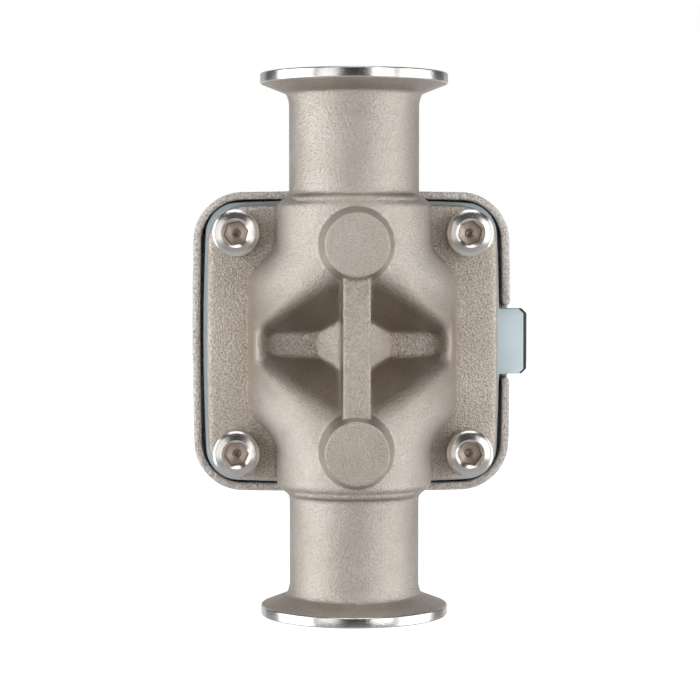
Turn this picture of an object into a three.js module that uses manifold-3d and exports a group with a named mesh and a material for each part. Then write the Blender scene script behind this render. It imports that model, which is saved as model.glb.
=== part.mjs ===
// A DN 32 pneumatic diaphragm valve with clamp ends, in millimetres.
// +Z runs up the pipe from the lower ferrule's face. +Y runs from the pipe towards the actuator.
// +X points to the side where the diaphragm's tab comes out.

import * as THREE from "three";
import { mergeVertices } from "three/addons/utils/BufferGeometryUtils.js";
import Module from "manifold-3d";

const library = await Module();
library.setup();
const { Manifold, Mesh } = library;

// ---------------------------------------------------------------- driving dimensions

// Pipe ends: a 35 x 1.5 tube with a 50.5 clamp ferrule, and the face to face length that goes with it.
const FACE_TO_FACE = 146;
const TUBE_R = 17.5;
const BORE_R = 16;
const FERRULE_R = 25.25;
const FERRULE_RIM = 2.85;
const FERRULE_CONE_DEG = 20;
const GASKET_GROOVE = { r: 21.75, halfWidth: 1.6, depth: 1.3 };

// Body casting, with y measured from the pipe's axis and h along the pipe from the middle.
const BARREL_R = 20.9;
const FLARE_FROM = 41.8;
const FLARE_TO = 37.4;
const BOWL_HALF_WIDTH = 28.4;
const BOWL_STRAIGHT = 15;
const BOWL_LENGTH = 28.5;
const PAD_Y = 13;
const SEAL_Y = 22;
const FLANGE = { x: 40.3, z: 38.4, corner: 10, bulge: 0.7, edge: 1.6 };
const DISC = { h: 27, faceR: 8.4, baseR: 9.85, faceY: -29.5 };
const RIB = { halfWidth: 3.7, topHalfWidth: 3.5, topY: -25 };
const WEIR = { crestY: 8, ridgeHalf: 3, ridgeY: 2.2, slopeDeg: 55 };
const HOLLOW = { floorEndX: 22.2, endX: 25.6, endMouthHalf: 3.8, mouthSpread: 0.66, endRise: 5.7 };
const OPENING_R = 25.2;

// The four screws that hold body, diaphragm and bonnet together.
const SCREW = { x: 32, z: 30.25, length: 25, headR: 6.5, headH: 8, r: 3.9, hexAcross: 6, hexDepth: 4 };
const SCREW_HOLE_R = 4.2;

// Diaphragm: a PTFE face and an EPDM back, with a tab that shows outside the flange.
const PTFE = { rim: 1.5, web: 1.2, overhang: 1.2, tabX: 48.3 };
const EPDM = { rim: 4, web: 2.4, overhang: 1.4, tabX: 49.4 };
const TAB = { halfWidth: 9.2, chamfer: 1.4 };
const WEB_R = 25;
const LAYER_GAP = 0.03;
const CREST_GAP = 0.4;

// Bonnet, and the stroke that it has to leave room for.
const STROKE = 14;
const BONNET = { x: 44.6, z: 42.2, corner: 13, bulge: 0.7, rimY: 20, backY: 41, neckR: 31, topY: 61 };
const RIM_WALL = 2.2;
const WINDOW_HALF = 10.2;
const CAVITY = { r: 26, topY: 42.5 };

// Actuator.
const STEM_R = 6;
const CYLINDER = { r: 41, wall: 2.5, base: 3, topY: 138 };
const PISTON = { baseY: 69.6, bandY: 75, webY: 83, topY: 87, r: 38.1 };
const SPRINGS = {
  outer: { r: 28, wire: 2.1, turns: 5 },
  inner: { r: 19, wire: 1.5, turns: 6 },
};
const COVER = { baseY: 125, topY: 133, r: 38.3, bossR: 10, bossTopY: 139 };
const PORT_Y = 72.5;
const PORT_BOSS_Z = 45;
const FITTING = { hexAcross: 12, hexH: 6, bodyR: 6, armR: 5.8, armLength: 21, tubeR: 3.05 };
const COLLAR_TRAVEL = 1.2;

// How finely round pieces are divided.
const PIPE_ROUND = 30;
const ROUND = 24;
const SMALL_ROUND = 12;

// ---------------------------------------------------------------- values worked out from them

const BODY_Z = FACE_TO_FACE / 2;
const PTFE_BACK_Y = SEAL_Y + PTFE.rim;
const DIAPHRAGM_BACK_Y = PTFE_BACK_Y + EPDM.rim;
const WEB_DEPTH = SEAL_Y - WEIR.crestY;
const SLOPE = Math.tan(THREE.MathUtils.degToRad(WEIR.slopeDeg));
const CYLINDER_BASE_Y = BONNET.topY;
const CYLINDER_FLOOR_Y = BONNET.topY + CYLINDER.base;
const CYLINDER_BORE_R = CYLINDER.r - CYLINDER.wall;

const COLOURS = {
  cast: { color: 0xb0a498, roughness: 0.55, metalness: 0.9 },
  roughCast: { color: 0xa9a197, roughness: 0.75, metalness: 0.9 },
  steel: { color: 0xc9c6c2, roughness: 0.25, metalness: 1 },
  aluminium: { color: 0xc2c4c6, roughness: 0.4, metalness: 1 },
  ptfe: { color: 0xbecbcf, roughness: 0.45, metalness: 0 },
  rubber: { color: 0x232425, roughness: 0.8, metalness: 0 },
  guide: { color: 0x6d5a3f, roughness: 0.5, metalness: 0 },
  spring: { color: 0x8d8f92, roughness: 0.3, metalness: 1 },
  bronze: { color: 0xa9825a, roughness: 0.7, metalness: 0.8 },
  clear: { color: 0xe8eef0, roughness: 0.08, metalness: 0, opacity: 0.35, transparent: true },
  signal: { color: 0xc83a22, roughness: 0.4, metalness: 0 },
  plastic: { color: 0x2b2d30, roughness: 0.5, metalness: 0 },
  collar: { color: 0x2d5f9e, roughness: 0.45, metalness: 0 },
};

// ---------------------------------------------------------------- solids

// A closed geometry as a manifold solid, turned outward if it faces inward.
function solid(geometry) {
  const bare = geometry.index ? geometry.toNonIndexed() : geometry.clone();
  bare.deleteAttribute("normal");
  bare.deleteAttribute("uv");
  const merged = mergeVertices(bare, 1e-4);
  const corners = merged.index.array;
  const kept = [];
  for (let i = 0; i < corners.length; i += 3) {
    const [a, b, c] = [corners[i], corners[i + 1], corners[i + 2]];
    if (a !== b && b !== c && c !== a) kept.push(a, b, c);
  }
  if (signedVolume(merged.attributes.position, kept) < 0) kept.reverse();
  const vertProperties = new Float32Array(merged.attributes.position.array);
  return new Manifold(new Mesh({ numProp: 3, vertProperties, triVerts: new Uint32Array(kept) }));
}

function signedVolume(position, corners) {
  const [a, b, c] = [new THREE.Vector3(), new THREE.Vector3(), new THREE.Vector3()];
  let volume = 0;
  for (let i = 0; i < corners.length; i += 3) {
    a.fromBufferAttribute(position, corners[i]);
    b.fromBufferAttribute(position, corners[i + 1]);
    c.fromBufferAttribute(position, corners[i + 2]);
    volume += a.dot(b.cross(c)) / 6;
  }
  return volume;
}

// A solid as a three.js geometry.
function geometryOf(made) {
  const mesh = made.getMesh();
  const position = new Float32Array(mesh.numVert * 3);
  for (let i = 0; i < mesh.numVert; i++) {
    const start = i * mesh.numProp;
    position.set(mesh.vertProperties.subarray(start, start + 3), i * 3);
  }
  const geometry = new THREE.BufferGeometry();
  geometry.setAttribute("position", new THREE.BufferAttribute(position, 3));
  geometry.setIndex(new THREE.BufferAttribute(mesh.triVerts, 1));
  return geometry;
}

const join = (...solids) => solids.reduce((all, next) => all.add(next));
const cut = (from, ...tools) => tools.reduce((left, tool) => left.subtract(tool), from);

// A solid of revolution about the stem's axis, from [radius, y] points that enclose its section.
function turned(points, segments = ROUND) {
  const closed = points[0][0] === 0 ? points : [...points, points[0]];
  const profile = closed.map(([r, y]) => new THREE.Vector2(r, y));
  return solid(new THREE.LatheGeometry(profile, segments).translate(0, 0, BODY_Z));
}

// A plain round bar or, with a bore, a plain ring, both along Y.
function bar(r, fromY, toY, segments = ROUND) {
  return turned([[0, fromY], [r, fromY], [r, toY], [0, toY]], segments);
}

function ring(innerR, outerR, fromY, toY, segments = ROUND) {
  return turned([[innerR, fromY], [outerR, fromY], [outerR, toY], [innerR, toY]], segments);
}

// A ring of round section, such as an O-ring.
function torus(midR, sectionR, y, segments = ROUND, sides = 6) {
  const points = [];
  for (let i = 0; i < sides; i++) {
    const angle = (2 * Math.PI * (i + 0.5)) / sides;
    points.push([midR + sectionR * Math.cos(angle), y + sectionR * Math.sin(angle)]);
  }
  return turned(points, segments);
}

// A shape drawn in X and Z about the stem's axis, given thickness along Y.
function plate(shape, fromY, toY, bevel = 0) {
  const geometry = new THREE.ExtrudeGeometry(shape, {
    depth: toY - fromY - 2 * bevel,
    curveSegments: 5,
    bevelEnabled: bevel > 0,
    bevelThickness: bevel,
    bevelSize: bevel,
    bevelOffset: -bevel,
    bevelSegments: 2,
  });
  return solid(geometry.rotateX(Math.PI / 2).translate(0, toY - bevel, BODY_Z));
}

// A rectangle with round corners and sides that bulge a little.
function cushionShape({ x, z, corner, bulge }) {
  const [endX, endZ] = [x - bulge - corner, z - bulge - corner];
  const shape = new THREE.Shape();
  shape.moveTo(endX, -z + bulge);
  shape.absarc(endX, -endZ, corner, -Math.PI / 2, 0);
  shape.quadraticCurveTo(x + bulge, 0, x - bulge, endZ);
  shape.absarc(endX, endZ, corner, 0, Math.PI / 2);
  shape.quadraticCurveTo(0, z + bulge, -endX, z - bulge);
  shape.absarc(-endX, endZ, corner, Math.PI / 2, Math.PI);
  shape.quadraticCurveTo(-x - bulge, 0, -x + bulge, -endZ);
  shape.absarc(-endX, -endZ, corner, Math.PI, 1.5 * Math.PI);
  shape.quadraticCurveTo(0, -z - bulge, endX, -z + bulge);
  return shape;
}

const grown = (outline, by) => ({ ...outline, x: outline.x + by, z: outline.z + by });

function box(x, y, z) {
  const size = new THREE.BoxGeometry(x[1] - x[0], y[1] - y[0], z[1] - z[0]);
  return solid(size.translate((x[0] + x[1]) / 2, (y[0] + y[1]) / 2, BODY_Z + (z[0] + z[1]) / 2));
}

// A closed skin through a row of loops that all have the same number of points.
function lofted(loops) {
  const count = loops[0].length;
  const vertices = loops.flat();
  const corners = [];
  for (let row = 0; row < loops.length - 1; row++) {
    for (let i = 0; i < count; i++) {
      const [a, b] = [row * count + i, row * count + ((i + 1) % count)];
      corners.push(a, b, b + count, a, b + count, a + count);
    }
  }
  const last = (loops.length - 1) * count;
  for (let i = 1; i < count - 1; i++) {
    corners.push(0, i + 1, i, last, last + i, last + i + 1);
  }
  const geometry = new THREE.BufferGeometry().setFromPoints(vertices);
  return solid(geometry.setIndex(corners));
}

// The same solid at each of the four body screws.
function atEachScrew(made) {
  const places = [[-1, 1], [1, 1], [1, -1], [-1, -1]];
  return places.map(([x, z]) => made.translate([x * SCREW.x, 0, z * SCREW.z]));
}

// A hexagonal prism along Y; turn is in degrees.
function hexBar(across, fromY, toY, turn = 0) {
  const geometry = new THREE.CylinderGeometry(across / Math.sqrt(3), across / Math.sqrt(3), toY - fromY, 6);
  geometry.rotateY(THREE.MathUtils.degToRad(turn));
  return solid(geometry.translate(0, (fromY + toY) / 2, BODY_Z));
}

// ---------------------------------------------------------------- valve body

// Height of the weir's sealing edge across the pipe, a parabola that ends on the sealing plane.
const crestY = (x) => WEIR.crestY + WEB_DEPTH * (x / WEB_R) ** 2;

function pipeSolid() {
  const coneRun = (FERRULE_R - TUBE_R - 1.5) * Math.tan(THREE.MathUtils.degToRad(FERRULE_CONE_DEG));
  const { r, halfWidth, depth } = GASKET_GROOVE;
  const half = [
    [0, 0],
    [r - halfWidth, 0],
    [r - halfWidth / 2, depth],
    [r + halfWidth / 2, depth],
    [r + halfWidth, 0],
    [FERRULE_R - 0.3, 0],
    [FERRULE_R, 0.3],
    [FERRULE_R, FERRULE_RIM],
    [TUBE_R + 1.5, FERRULE_RIM + coneRun],
    [TUBE_R + 0.4, FERRULE_RIM + coneRun + 0.9],
    [TUBE_R, FERRULE_RIM + coneRun + 2.1],
    [TUBE_R, BODY_Z - FLARE_FROM],
    [TUBE_R + 1, BODY_Z - FLARE_FROM + 1.6],
    [BARREL_R - 0.8, BODY_Z - FLARE_TO - 1.2],
    [BARREL_R, BODY_Z - FLARE_TO],
  ];
  const mirrored = half.map(([radius, z]) => [radius, FACE_TO_FACE - z]).reverse();
  const profile = [...half, ...mirrored].map(([radius, z]) => new THREE.Vector2(radius, z));
  return solid(new THREE.LatheGeometry(profile, PIPE_ROUND).rotateX(Math.PI / 2));
}

// The bowl between the two barrels: its section widens from the barrel's circle to the pads.
function bowlSolid() {
  const loops = [];
  for (let h = -BOWL_LENGTH; h <= BOWL_LENGTH + 0.01; h += BOWL_LENGTH / 6) {
    const toBarrel = THREE.MathUtils.smoothstep(Math.abs(h), BOWL_STRAIGHT, BOWL_LENGTH);
    const halfWidth = THREE.MathUtils.lerp(BOWL_HALF_WIDTH, BARREL_R - 0.3, toBarrel);
    const sideY = THREE.MathUtils.lerp(PAD_Y + 1, 0, toBarrel);
    const loop = [new THREE.Vector3(halfWidth, PAD_Y + 2, BODY_Z + h)];
    for (let i = 0; i <= 12; i++) {
      const angle = (Math.PI * i) / 12;
      const y = sideY - (sideY + BARREL_R - 0.1) * Math.sin(angle) ** 0.9;
      loop.push(new THREE.Vector3(halfWidth * Math.cos(angle), y, BODY_Z + h));
    }
    loop.push(new THREE.Vector3(-halfWidth, PAD_Y + 2, BODY_Z + h));
    loops.push(loop);
  }
  return lofted(loops);
}

// A trough across the pipe: flat bottom, sloping sides and an arched floor. Its mouth faces the belly.
function trough(bottomHalf, floorY, slope, fromX, toX) {
  const mouthY = -60;
  const loops = [];
  const steps = 8;
  for (let i = 0; i <= steps; i++) {
    const x = THREE.MathUtils.lerp(fromX, toX, i / steps);
    const y = floorY(x);
    const half = bottomHalf(x);
    const mouthHalf = half + (y - mouthY) / slope(x);
    const corner = (pointY, h) => new THREE.Vector3(x, pointY, BODY_Z + h);
    loops.push([corner(y, half), corner(mouthY, mouthHalf), corner(mouthY, -mouthHalf), corner(y, -half)]);
  }
  return lofted(loops);
}

// The hollow under the weir, on one side of the rib. Its floor swells where it meets the rib, its
// sides steepen towards the end, so that its mouth narrows in straight lines, and its end slopes.
function underWeirHollow(side) {
  const nearRib = (x) => THREE.MathUtils.clamp((9.8 - Math.abs(x)) / 6, 0, 1);
  const floorY = (x) => WEIR.ridgeY + 2.2 * (x / HOLLOW.endX) ** 2 - 5.2 * nearRib(x);
  const half = (x) => WEIR.ridgeHalf + 3.4 * nearRib(x);
  const bowlY = (x) => PAD_Y - (PAD_Y + BARREL_R) * Math.sqrt(1 - (x / BOWL_HALF_WIDTH) ** 2);
  const mouthHalf = (x) => HOLLOW.endMouthHalf + HOLLOW.mouthSpread * (HOLLOW.endX - Math.abs(x));
  const slope = (x) => (floorY(x) - bowlY(x)) / (mouthHalf(x) - half(x));
  const whole = trough(half, floorY, slope, side * RIB.halfWidth, side * HOLLOW.endX);
  return cut(whole, hollowEnd(side, floorY(HOLLOW.floorEndX)));
}

// The metal beyond the hollow's sloping end, which runs from the floor out to the bowl's side.
function hollowEnd(side, startY) {
  const run = (HOLLOW.endX - HOLLOW.floorEndX) / HOLLOW.endRise;
  const endXAt = (y) => HOLLOW.floorEndX + (startY - y) * run;
  const section = [[endXAt(9), 9], [endXAt(-12), -12], [60, -12], [60, 9]];
  return lofted([-30, 30].map((h) => section.map(([x, y]) => new THREE.Vector3(side * x, y, BODY_Z + h))));
}

// The water's way: the bore, and the round chamber under the diaphragm.
function chamberSolid() {
  const points = [[0, -BORE_R]];
  for (let i = 1; i <= 6; i++) {
    const angle = (Math.PI / 2) * (i / 6);
    const r = OPENING_R * Math.sin(angle);
    points.push([r, 9 - (9 + BORE_R) * Math.cos(angle)]);
  }
  points.push([OPENING_R, SEAL_Y + 1], [0, SEAL_Y + 1]);
  return turned(points, PIPE_ROUND);
}

function weirSolid() {
  const crest = (x) => crestY(x) - CREST_GAP;
  return trough(() => 2, crest, () => SLOPE, -OPENING_R - 2, OPENING_R + 2);
}

function boreSolid() {
  return solid(
    new THREE.CylinderGeometry(BORE_R, BORE_R, FACE_TO_FACE + 2, PIPE_ROUND)
      .rotateX(Math.PI / 2)
      .translate(0, 0, BODY_Z),
  );
}

function valveBody() {
  const discs = [-1, 1].map((end) =>
    turned([[0, -BARREL_R + 6], [DISC.baseR, -BARREL_R + 6], [DISC.baseR, -BARREL_R - 2],
      [DISC.faceR, DISC.faceY], [0, DISC.faceY]]).translate([0, 0, end * DISC.h]),
  );
  const rib = lofted([-DISC.h, DISC.h].map((h) => [
    new THREE.Vector3(-RIB.halfWidth, WEIR.crestY, BODY_Z + h),
    new THREE.Vector3(RIB.halfWidth, WEIR.crestY, BODY_Z + h),
    new THREE.Vector3(RIB.topHalfWidth, RIB.topY, BODY_Z + h),
    new THREE.Vector3(-RIB.topHalfWidth, RIB.topY, BODY_Z + h),
  ]));
  const outline = cushionShape(FLANGE);
  const flange = join(plate(outline, PAD_Y, SEAL_Y, FLANGE.edge), plate(outline, SEAL_Y - 3, SEAL_Y));
  const shell = cut(join(pipeSolid(), bowlSolid()), underWeirHollow(-1), underWeirHollow(1));
  const outside = join(shell, flange, rib, ...discs);
  const waterway = cut(join(boreSolid(), chamberSolid()), weirSolid());
  const holes = atEachScrew(bar(SCREW_HOLE_R, PAD_Y - 1, SEAL_Y + 1, SMALL_ROUND));
  return cut(outside, waterway, ...holes);
}

// ---------------------------------------------------------------- diaphragm

// The web's face at a radius, in the closed position. It lies on the weir's crest.
const webY = (r) => SEAL_Y - WEB_DEPTH * (1 - (r / WEB_R) ** 2);

// The dished web between two offsets from that face, out to a flat ring that the plate joins.
function webSolid(below, above, rimBelow, rimAbove) {
  const steps = 5;
  const lower = [];
  const upper = [];
  for (let i = 0; i <= steps; i++) {
    const r = (WEB_R * i) / steps;
    lower.push([r, webY(r) + below]);
    upper.unshift([r, webY(r) + above]);
  }
  lower[steps][1] = rimBelow;
  upper[0][1] = rimAbove;
  return turned([...lower, [WEB_R + 2, rimBelow], [WEB_R + 2, rimAbove], ...upper]);
}

function tabShape(outline, endX) {
  const { halfWidth, chamfer } = TAB;
  return new THREE.Shape([
    new THREE.Vector2(outline.x - 4, -halfWidth),
    new THREE.Vector2(endX - chamfer, -halfWidth),
    new THREE.Vector2(endX, -halfWidth + chamfer),
    new THREE.Vector2(endX, halfWidth - chamfer),
    new THREE.Vector2(endX - chamfer, halfWidth),
    new THREE.Vector2(outline.x - 4, halfWidth),
  ]);
}

// The flat clamped part of one diaphragm layer, with its tab, screw holes and round opening.
function diaphragmPlate(layer, fromY, toY) {
  const outline = grown(FLANGE, layer.overhang);
  const holes = atEachScrew(bar(SCREW_HOLE_R, fromY - 1, toY + 1, SMALL_ROUND));
  const sheet = plate(cushionShape(outline), fromY, toY);
  const tab = plate(tabShape(outline, layer.tabX), fromY, toY);
  return cut(join(sheet, tab), bar(WEB_R + 1, fromY - 1, toY + 1), ...holes);
}

function diaphragmPtfe() {
  const web = webSolid(0, PTFE.web, SEAL_Y, PTFE_BACK_Y);
  return join(diaphragmPlate(PTFE, SEAL_Y, PTFE_BACK_Y), web);
}

const STUD = { headR: 6, headLift: 0.15, headH: 1.4, r: 3, topY: 22 };

function diaphragmEpdm() {
  const fromY = PTFE_BACK_Y + LAYER_GAP;
  const web = webSolid(PTFE.web + LAYER_GAP, PTFE.web + EPDM.web, fromY, DIAPHRAGM_BACK_Y);
  const boss = bar(8, webY(8) + PTFE.web + 0.8, webY(8) + PTFE.web + EPDM.web + 1, SMALL_ROUND);
  const whole = join(diaphragmPlate(EPDM, fromY, DIAPHRAGM_BACK_Y), web, boss);
  const headRoomY = webY(STUD.headR) + PTFE.web + STUD.headLift + STUD.headH + 0.1;
  const headRoom = bar(STUD.headR + 0.1, webY(0), headRoomY, SMALL_ROUND);
  return cut(whole, headRoom, bar(STUD.r + 0.1, webY(0), DIAPHRAGM_BACK_Y + 5, SMALL_ROUND));
}

// The stud moulded between the two layers. Its head follows the face of the web.
function diaphragmStud() {
  const under = (r) => webY(r) + PTFE.web + STUD.headLift;
  const shoulderY = under(STUD.headR) + STUD.headH;
  return turned([
    [0, under(0)],
    [STUD.headR / 2, under(STUD.headR / 2)],
    [STUD.headR, under(STUD.headR)],
    [STUD.headR, shoulderY],
    [STUD.r, shoulderY],
    [STUD.r, STUD.topY],
    [0, STUD.topY],
  ], SMALL_ROUND);
}

// ---------------------------------------------------------------- compressor and stem

const COMPRESSOR = { r: 20, lift: 0.25, rimY: 27, hubR: 8.6, hubTopY: 34.4, boreR: 6.2 };
const PIN = { r: 2, halfLength: 8.2, y: 31 };
const STEM = { baseY: 23, shoulderY: 69.2, threadR: 5, topY: 98 };

// It presses the web onto the weir, so its underside has the closed web's shape.
function compressor() {
  const under = (r) => webY(r) + PTFE.web + EPDM.web + COMPRESSOR.lift;
  const bossRoomY = webY(8) + PTFE.web + EPDM.web + 1 + COMPRESSOR.lift;
  const shape = turned([
    [STUD.r + 0.1, bossRoomY],
    [8.3, bossRoomY],
    [8.4, under(8.4)],
    [10, under(10)],
    [15, under(15)],
    [COMPRESSOR.r, under(COMPRESSOR.r)],
    [COMPRESSOR.r, COMPRESSOR.rimY],
    [COMPRESSOR.hubR, COMPRESSOR.rimY],
    [COMPRESSOR.hubR, COMPRESSOR.hubTopY],
    [COMPRESSOR.boreR, COMPRESSOR.hubTopY],
    [COMPRESSOR.boreR, STEM.baseY - 0.3],
    [STUD.r + 0.1, STEM.baseY - 0.3],
  ]);
  return cut(shape, crossPin(PIN.r + 0.1, COMPRESSOR.hubR + 1));
}

function crossPin(r, halfLength) {
  const geometry = new THREE.CylinderGeometry(r, r, 2 * halfLength, 16);
  return solid(geometry.rotateZ(Math.PI / 2).translate(0, PIN.y, BODY_Z));
}

function stem() {
  const shaft = turned([
    [0, STEM.baseY],
    [STEM_R, STEM.baseY],
    [STEM_R, STEM.shoulderY],
    [STEM.threadR, STEM.shoulderY],
    [STEM.threadR, STEM.topY],
    [2.6, STEM.topY],
    [2.6, STEM.topY - 8],
    [0, STEM.topY - 8],
  ], ROUND);
  return cut(shaft, crossPin(PIN.r + 0.1, STEM_R + 1));
}

// ---------------------------------------------------------------- bonnet and stem seals

// The compressor's hub rises into the bush's bore in the bonnet, so the bush starts above it.
const BUSH = { r: 9, flangeR: 11, flange: 1.5, baseY: COMPRESSOR.hubTopY + STROKE + 1, boreR: STEM_R + 0.08 };
const STEM_SEAL = { midR: 7.1, sectionR: 0.98, ys: [52.4, 55.6] };

function bonnet() {
  const outer = cushionShape(BONNET);
  const inner = cushionShape({ ...grown(BONNET, -RIM_WALL), corner: BONNET.corner - RIM_WALL });
  const skirt = plate(outer, BONNET.rimY, BONNET.backY);
  const neck = turned([[0, BONNET.backY - 2], [BONNET.neckR + 4, BONNET.backY - 2],
    [BONNET.neckR, BONNET.backY + 3], [BONNET.neckR, BONNET.topY], [0, BONNET.topY]]);
  const diaphragmRoom = plate(inner, BONNET.rimY - 1, DIAPHRAGM_BACK_Y);
  const window = box([30, 60], [BONNET.rimY - 1, DIAPHRAGM_BACK_Y + 0.3], [-WINDOW_HALF, WINDOW_HALF]);
  const cavity = turned([[0, DIAPHRAGM_BACK_Y - 1], [CAVITY.r, DIAPHRAGM_BACK_Y - 1],
    [CAVITY.r, CAVITY.topY - 3], [CAVITY.r - 3, CAVITY.topY], [0, CAVITY.topY]]);
  const threads = atEachScrew(bar(SCREW_HOLE_R, DIAPHRAGM_BACK_Y - 1, BONNET.backY - 1.5, SMALL_ROUND));
  const bushBore = bar(BUSH.r + 0.05, CAVITY.topY - 1, BONNET.topY + 1);
  const bushSeat = bar(BUSH.flangeR + 0.2, BONNET.topY - BUSH.flange - 0.5, BONNET.topY + 1);
  const baseThreads = atEachBaseScrew(bar(2.6, BASE_SCREW.tipY - 0.5, BONNET.topY + 1, SMALL_ROUND));
  const leakHole = solid(new THREE.CylinderGeometry(1.6, 1.6, 24, 12).rotateZ(Math.PI / 2)
    .translate((CAVITY.r + BONNET.x) / 2, CAVITY.topY - 4, BODY_Z));
  return cut(join(skirt, neck), diaphragmRoom, window, cavity, bushBore, bushSeat,
    ...threads, ...baseThreads, leakHole);
}

function stemBush() {
  const { r, flangeR, flange, baseY, boreR } = BUSH;
  const seatY = BONNET.topY - flange;
  const groove = (y) => [[boreR, y - 1.1], [8.15, y - 1.1], [8.15, y + 1.1], [boreR, y + 1.1]];
  return turned([
    [boreR, baseY],
    [r, baseY],
    [r, seatY - 0.3],
    [flangeR, seatY - 0.3],
    [flangeR, BONNET.topY - 0.05],
    [7.6, BONNET.topY - 0.05],
    [7.6, seatY - 1.4],
    [boreR, seatY - 1.4],
    ...groove(STEM_SEAL.ys[1]).reverse(),
    ...groove(STEM_SEAL.ys[0]).reverse(),
  ]);
}

const stemSeal = (y) => torus(STEM_SEAL.midR, STEM_SEAL.sectionR, y);

function stemWiper() {
  const seatY = BONNET.topY - BUSH.flange;
  return turned([[STEM_R + 0.06, seatY - 1.3], [7.5, seatY - 1.3], [7.5, BONNET.topY - 0.2],
    [STEM_R + 0.9, BONNET.topY - 0.2], [STEM_R + 0.06, BONNET.topY - 1.1]]);
}

// ---------------------------------------------------------------- cylinder

const BASE_SCREW = { pitchR: 21, r: 2.4, headR: 4.25, headH: 4, tipY: 51.5, hexAcross: 4 };

function atEachBaseScrew(made) {
  const places = [45, 135, 225, 315].map(THREE.MathUtils.degToRad);
  return places.map((angle) =>
    made.translate([BASE_SCREW.pitchR * Math.cos(angle), 0, BASE_SCREW.pitchR * Math.sin(angle)]),
  );
}

// A bar that stands out of the cylinder's side along +Z, at the height of the air port.
function portBar(r, fromZ, toZ, segments = SMALL_ROUND) {
  const geometry = new THREE.CylinderGeometry(r, r, toZ - fromZ, segments);
  return solid(geometry.rotateX(Math.PI / 2).translate(0, PORT_Y, BODY_Z + (fromZ + toZ) / 2));
}

const RING_GROOVE = { fromY: COVER.topY + 0.1, toY: COVER.topY + 2.3, depth: 1.1 };
const BASE_GROOVE = { innerR: 13, outerR: 16.2, depth: 1.5 };

function cylinder() {
  const { r, topY } = CYLINDER;
  const bore = CYLINDER_BORE_R;
  const { fromY, toY, depth } = RING_GROOVE;
  const cup = turned([
    [STEM_R + 2, CYLINDER_BASE_Y],
    [BASE_GROOVE.innerR, CYLINDER_BASE_Y],
    [BASE_GROOVE.innerR, CYLINDER_BASE_Y + BASE_GROOVE.depth],
    [BASE_GROOVE.outerR, CYLINDER_BASE_Y + BASE_GROOVE.depth],
    [BASE_GROOVE.outerR, CYLINDER_BASE_Y],
    [r - 3, CYLINDER_BASE_Y],
    [r, CYLINDER_BASE_Y + 3],
    [r, topY],
    [bore, topY],
    [bore, toY],
    [bore + depth, toY],
    [bore + depth, fromY],
    [bore, fromY],
    [bore, CYLINDER_FLOOR_Y + 1],
    [bore - 1, CYLINDER_FLOOR_Y],
    [STEM_R + 2, CYLINDER_FLOOR_Y],
  ]);
  const boss = portBar(8, bore + 0.5, PORT_BOSS_Z);
  const holes = atEachBaseScrew(bar(2.7, CYLINDER_BASE_Y - 1, CYLINDER_FLOOR_Y + 1, SMALL_ROUND));
  return cut(join(cup, boss), portBar(5, 40, PORT_BOSS_Z + 1), portBar(2.5, 30, 41), ...holes);
}

function baseScrew() {
  const { r, headR, headH, tipY, hexAcross } = BASE_SCREW;
  const shape = turned([[0, tipY], [r, tipY], [r, CYLINDER_FLOOR_Y], [headR, CYLINDER_FLOOR_Y],
    [headR, CYLINDER_FLOOR_Y + headH], [0, CYLINDER_FLOOR_Y + headH]], SMALL_ROUND);
  return cut(shape, hexBar(hexAcross, CYLINDER_FLOOR_Y + 1.6, CYLINDER_FLOOR_Y + headH + 1));
}

function bodyScrew(turn) {
  const { r, headR, headH, length, hexAcross, hexDepth } = SCREW;
  const topY = PAD_Y - headH;
  const shape = turned([[0, topY], [headR - 0.8, topY], [headR, topY + 0.8], [headR, PAD_Y],
    [r, PAD_Y], [r, PAD_Y + length - 1], [r - 0.9, PAD_Y + length], [0, PAD_Y + length]], SMALL_ROUND * 2);
  return cut(shape, hexBar(hexAcross, topY - 1, topY + hexDepth, turn));
}

// ---------------------------------------------------------------- piston and springs

const SEAL_GROOVE = { fromY: 76.6, toY: 80.2, depth: 3 };
const GUIDE_GROOVE = { fromY: 82, toY: 85.2, depth: 1.4 };

function piston() {
  const { baseY, bandY, webY: floorY, topY, r } = PISTON;
  return turned([
    [STEM.threadR + 0.1, baseY],
    [14, baseY],
    [17, bandY],
    [r, bandY],
    [r, SEAL_GROOVE.fromY],
    [r - SEAL_GROOVE.depth, SEAL_GROOVE.fromY],
    [r - SEAL_GROOVE.depth, SEAL_GROOVE.toY],
    [r, SEAL_GROOVE.toY],
    [r, GUIDE_GROOVE.fromY],
    [r - GUIDE_GROOVE.depth, GUIDE_GROOVE.fromY],
    [r - GUIDE_GROOVE.depth, GUIDE_GROOVE.toY],
    [r, GUIDE_GROOVE.toY],
    [r, topY],
    [33, topY],
    [33, floorY],
    [14, floorY],
    [12.5, topY],
    [STEM.threadR + 0.1, topY],
  ]);
}

function pistonSeal() {
  const { fromY, toY, depth } = SEAL_GROOVE;
  const innerR = PISTON.r - depth + 0.05;
  const outerR = CYLINDER_BORE_R - 0.06;
  return turned([[innerR, fromY + 0.1], [outerR - 0.5, fromY + 0.1], [outerR, fromY + 0.7],
    [outerR, toY - 0.7], [outerR - 0.5, toY - 0.1], [innerR, toY - 0.1]]);
}

function pistonGuideRing() {
  const { fromY, toY, depth } = GUIDE_GROOVE;
  return ring(PISTON.r - depth + 0.05, CYLINDER_BORE_R - 0.06, fromY + 0.1, toY - 0.1);
}

function pistonNut() {
  const nut = hexBar(17, PISTON.topY + 1.7, PISTON.topY + 8.2);
  return cut(nut, bar(STEM.threadR + 0.1, PISTON.topY, PISTON.topY + 10));
}

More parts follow.
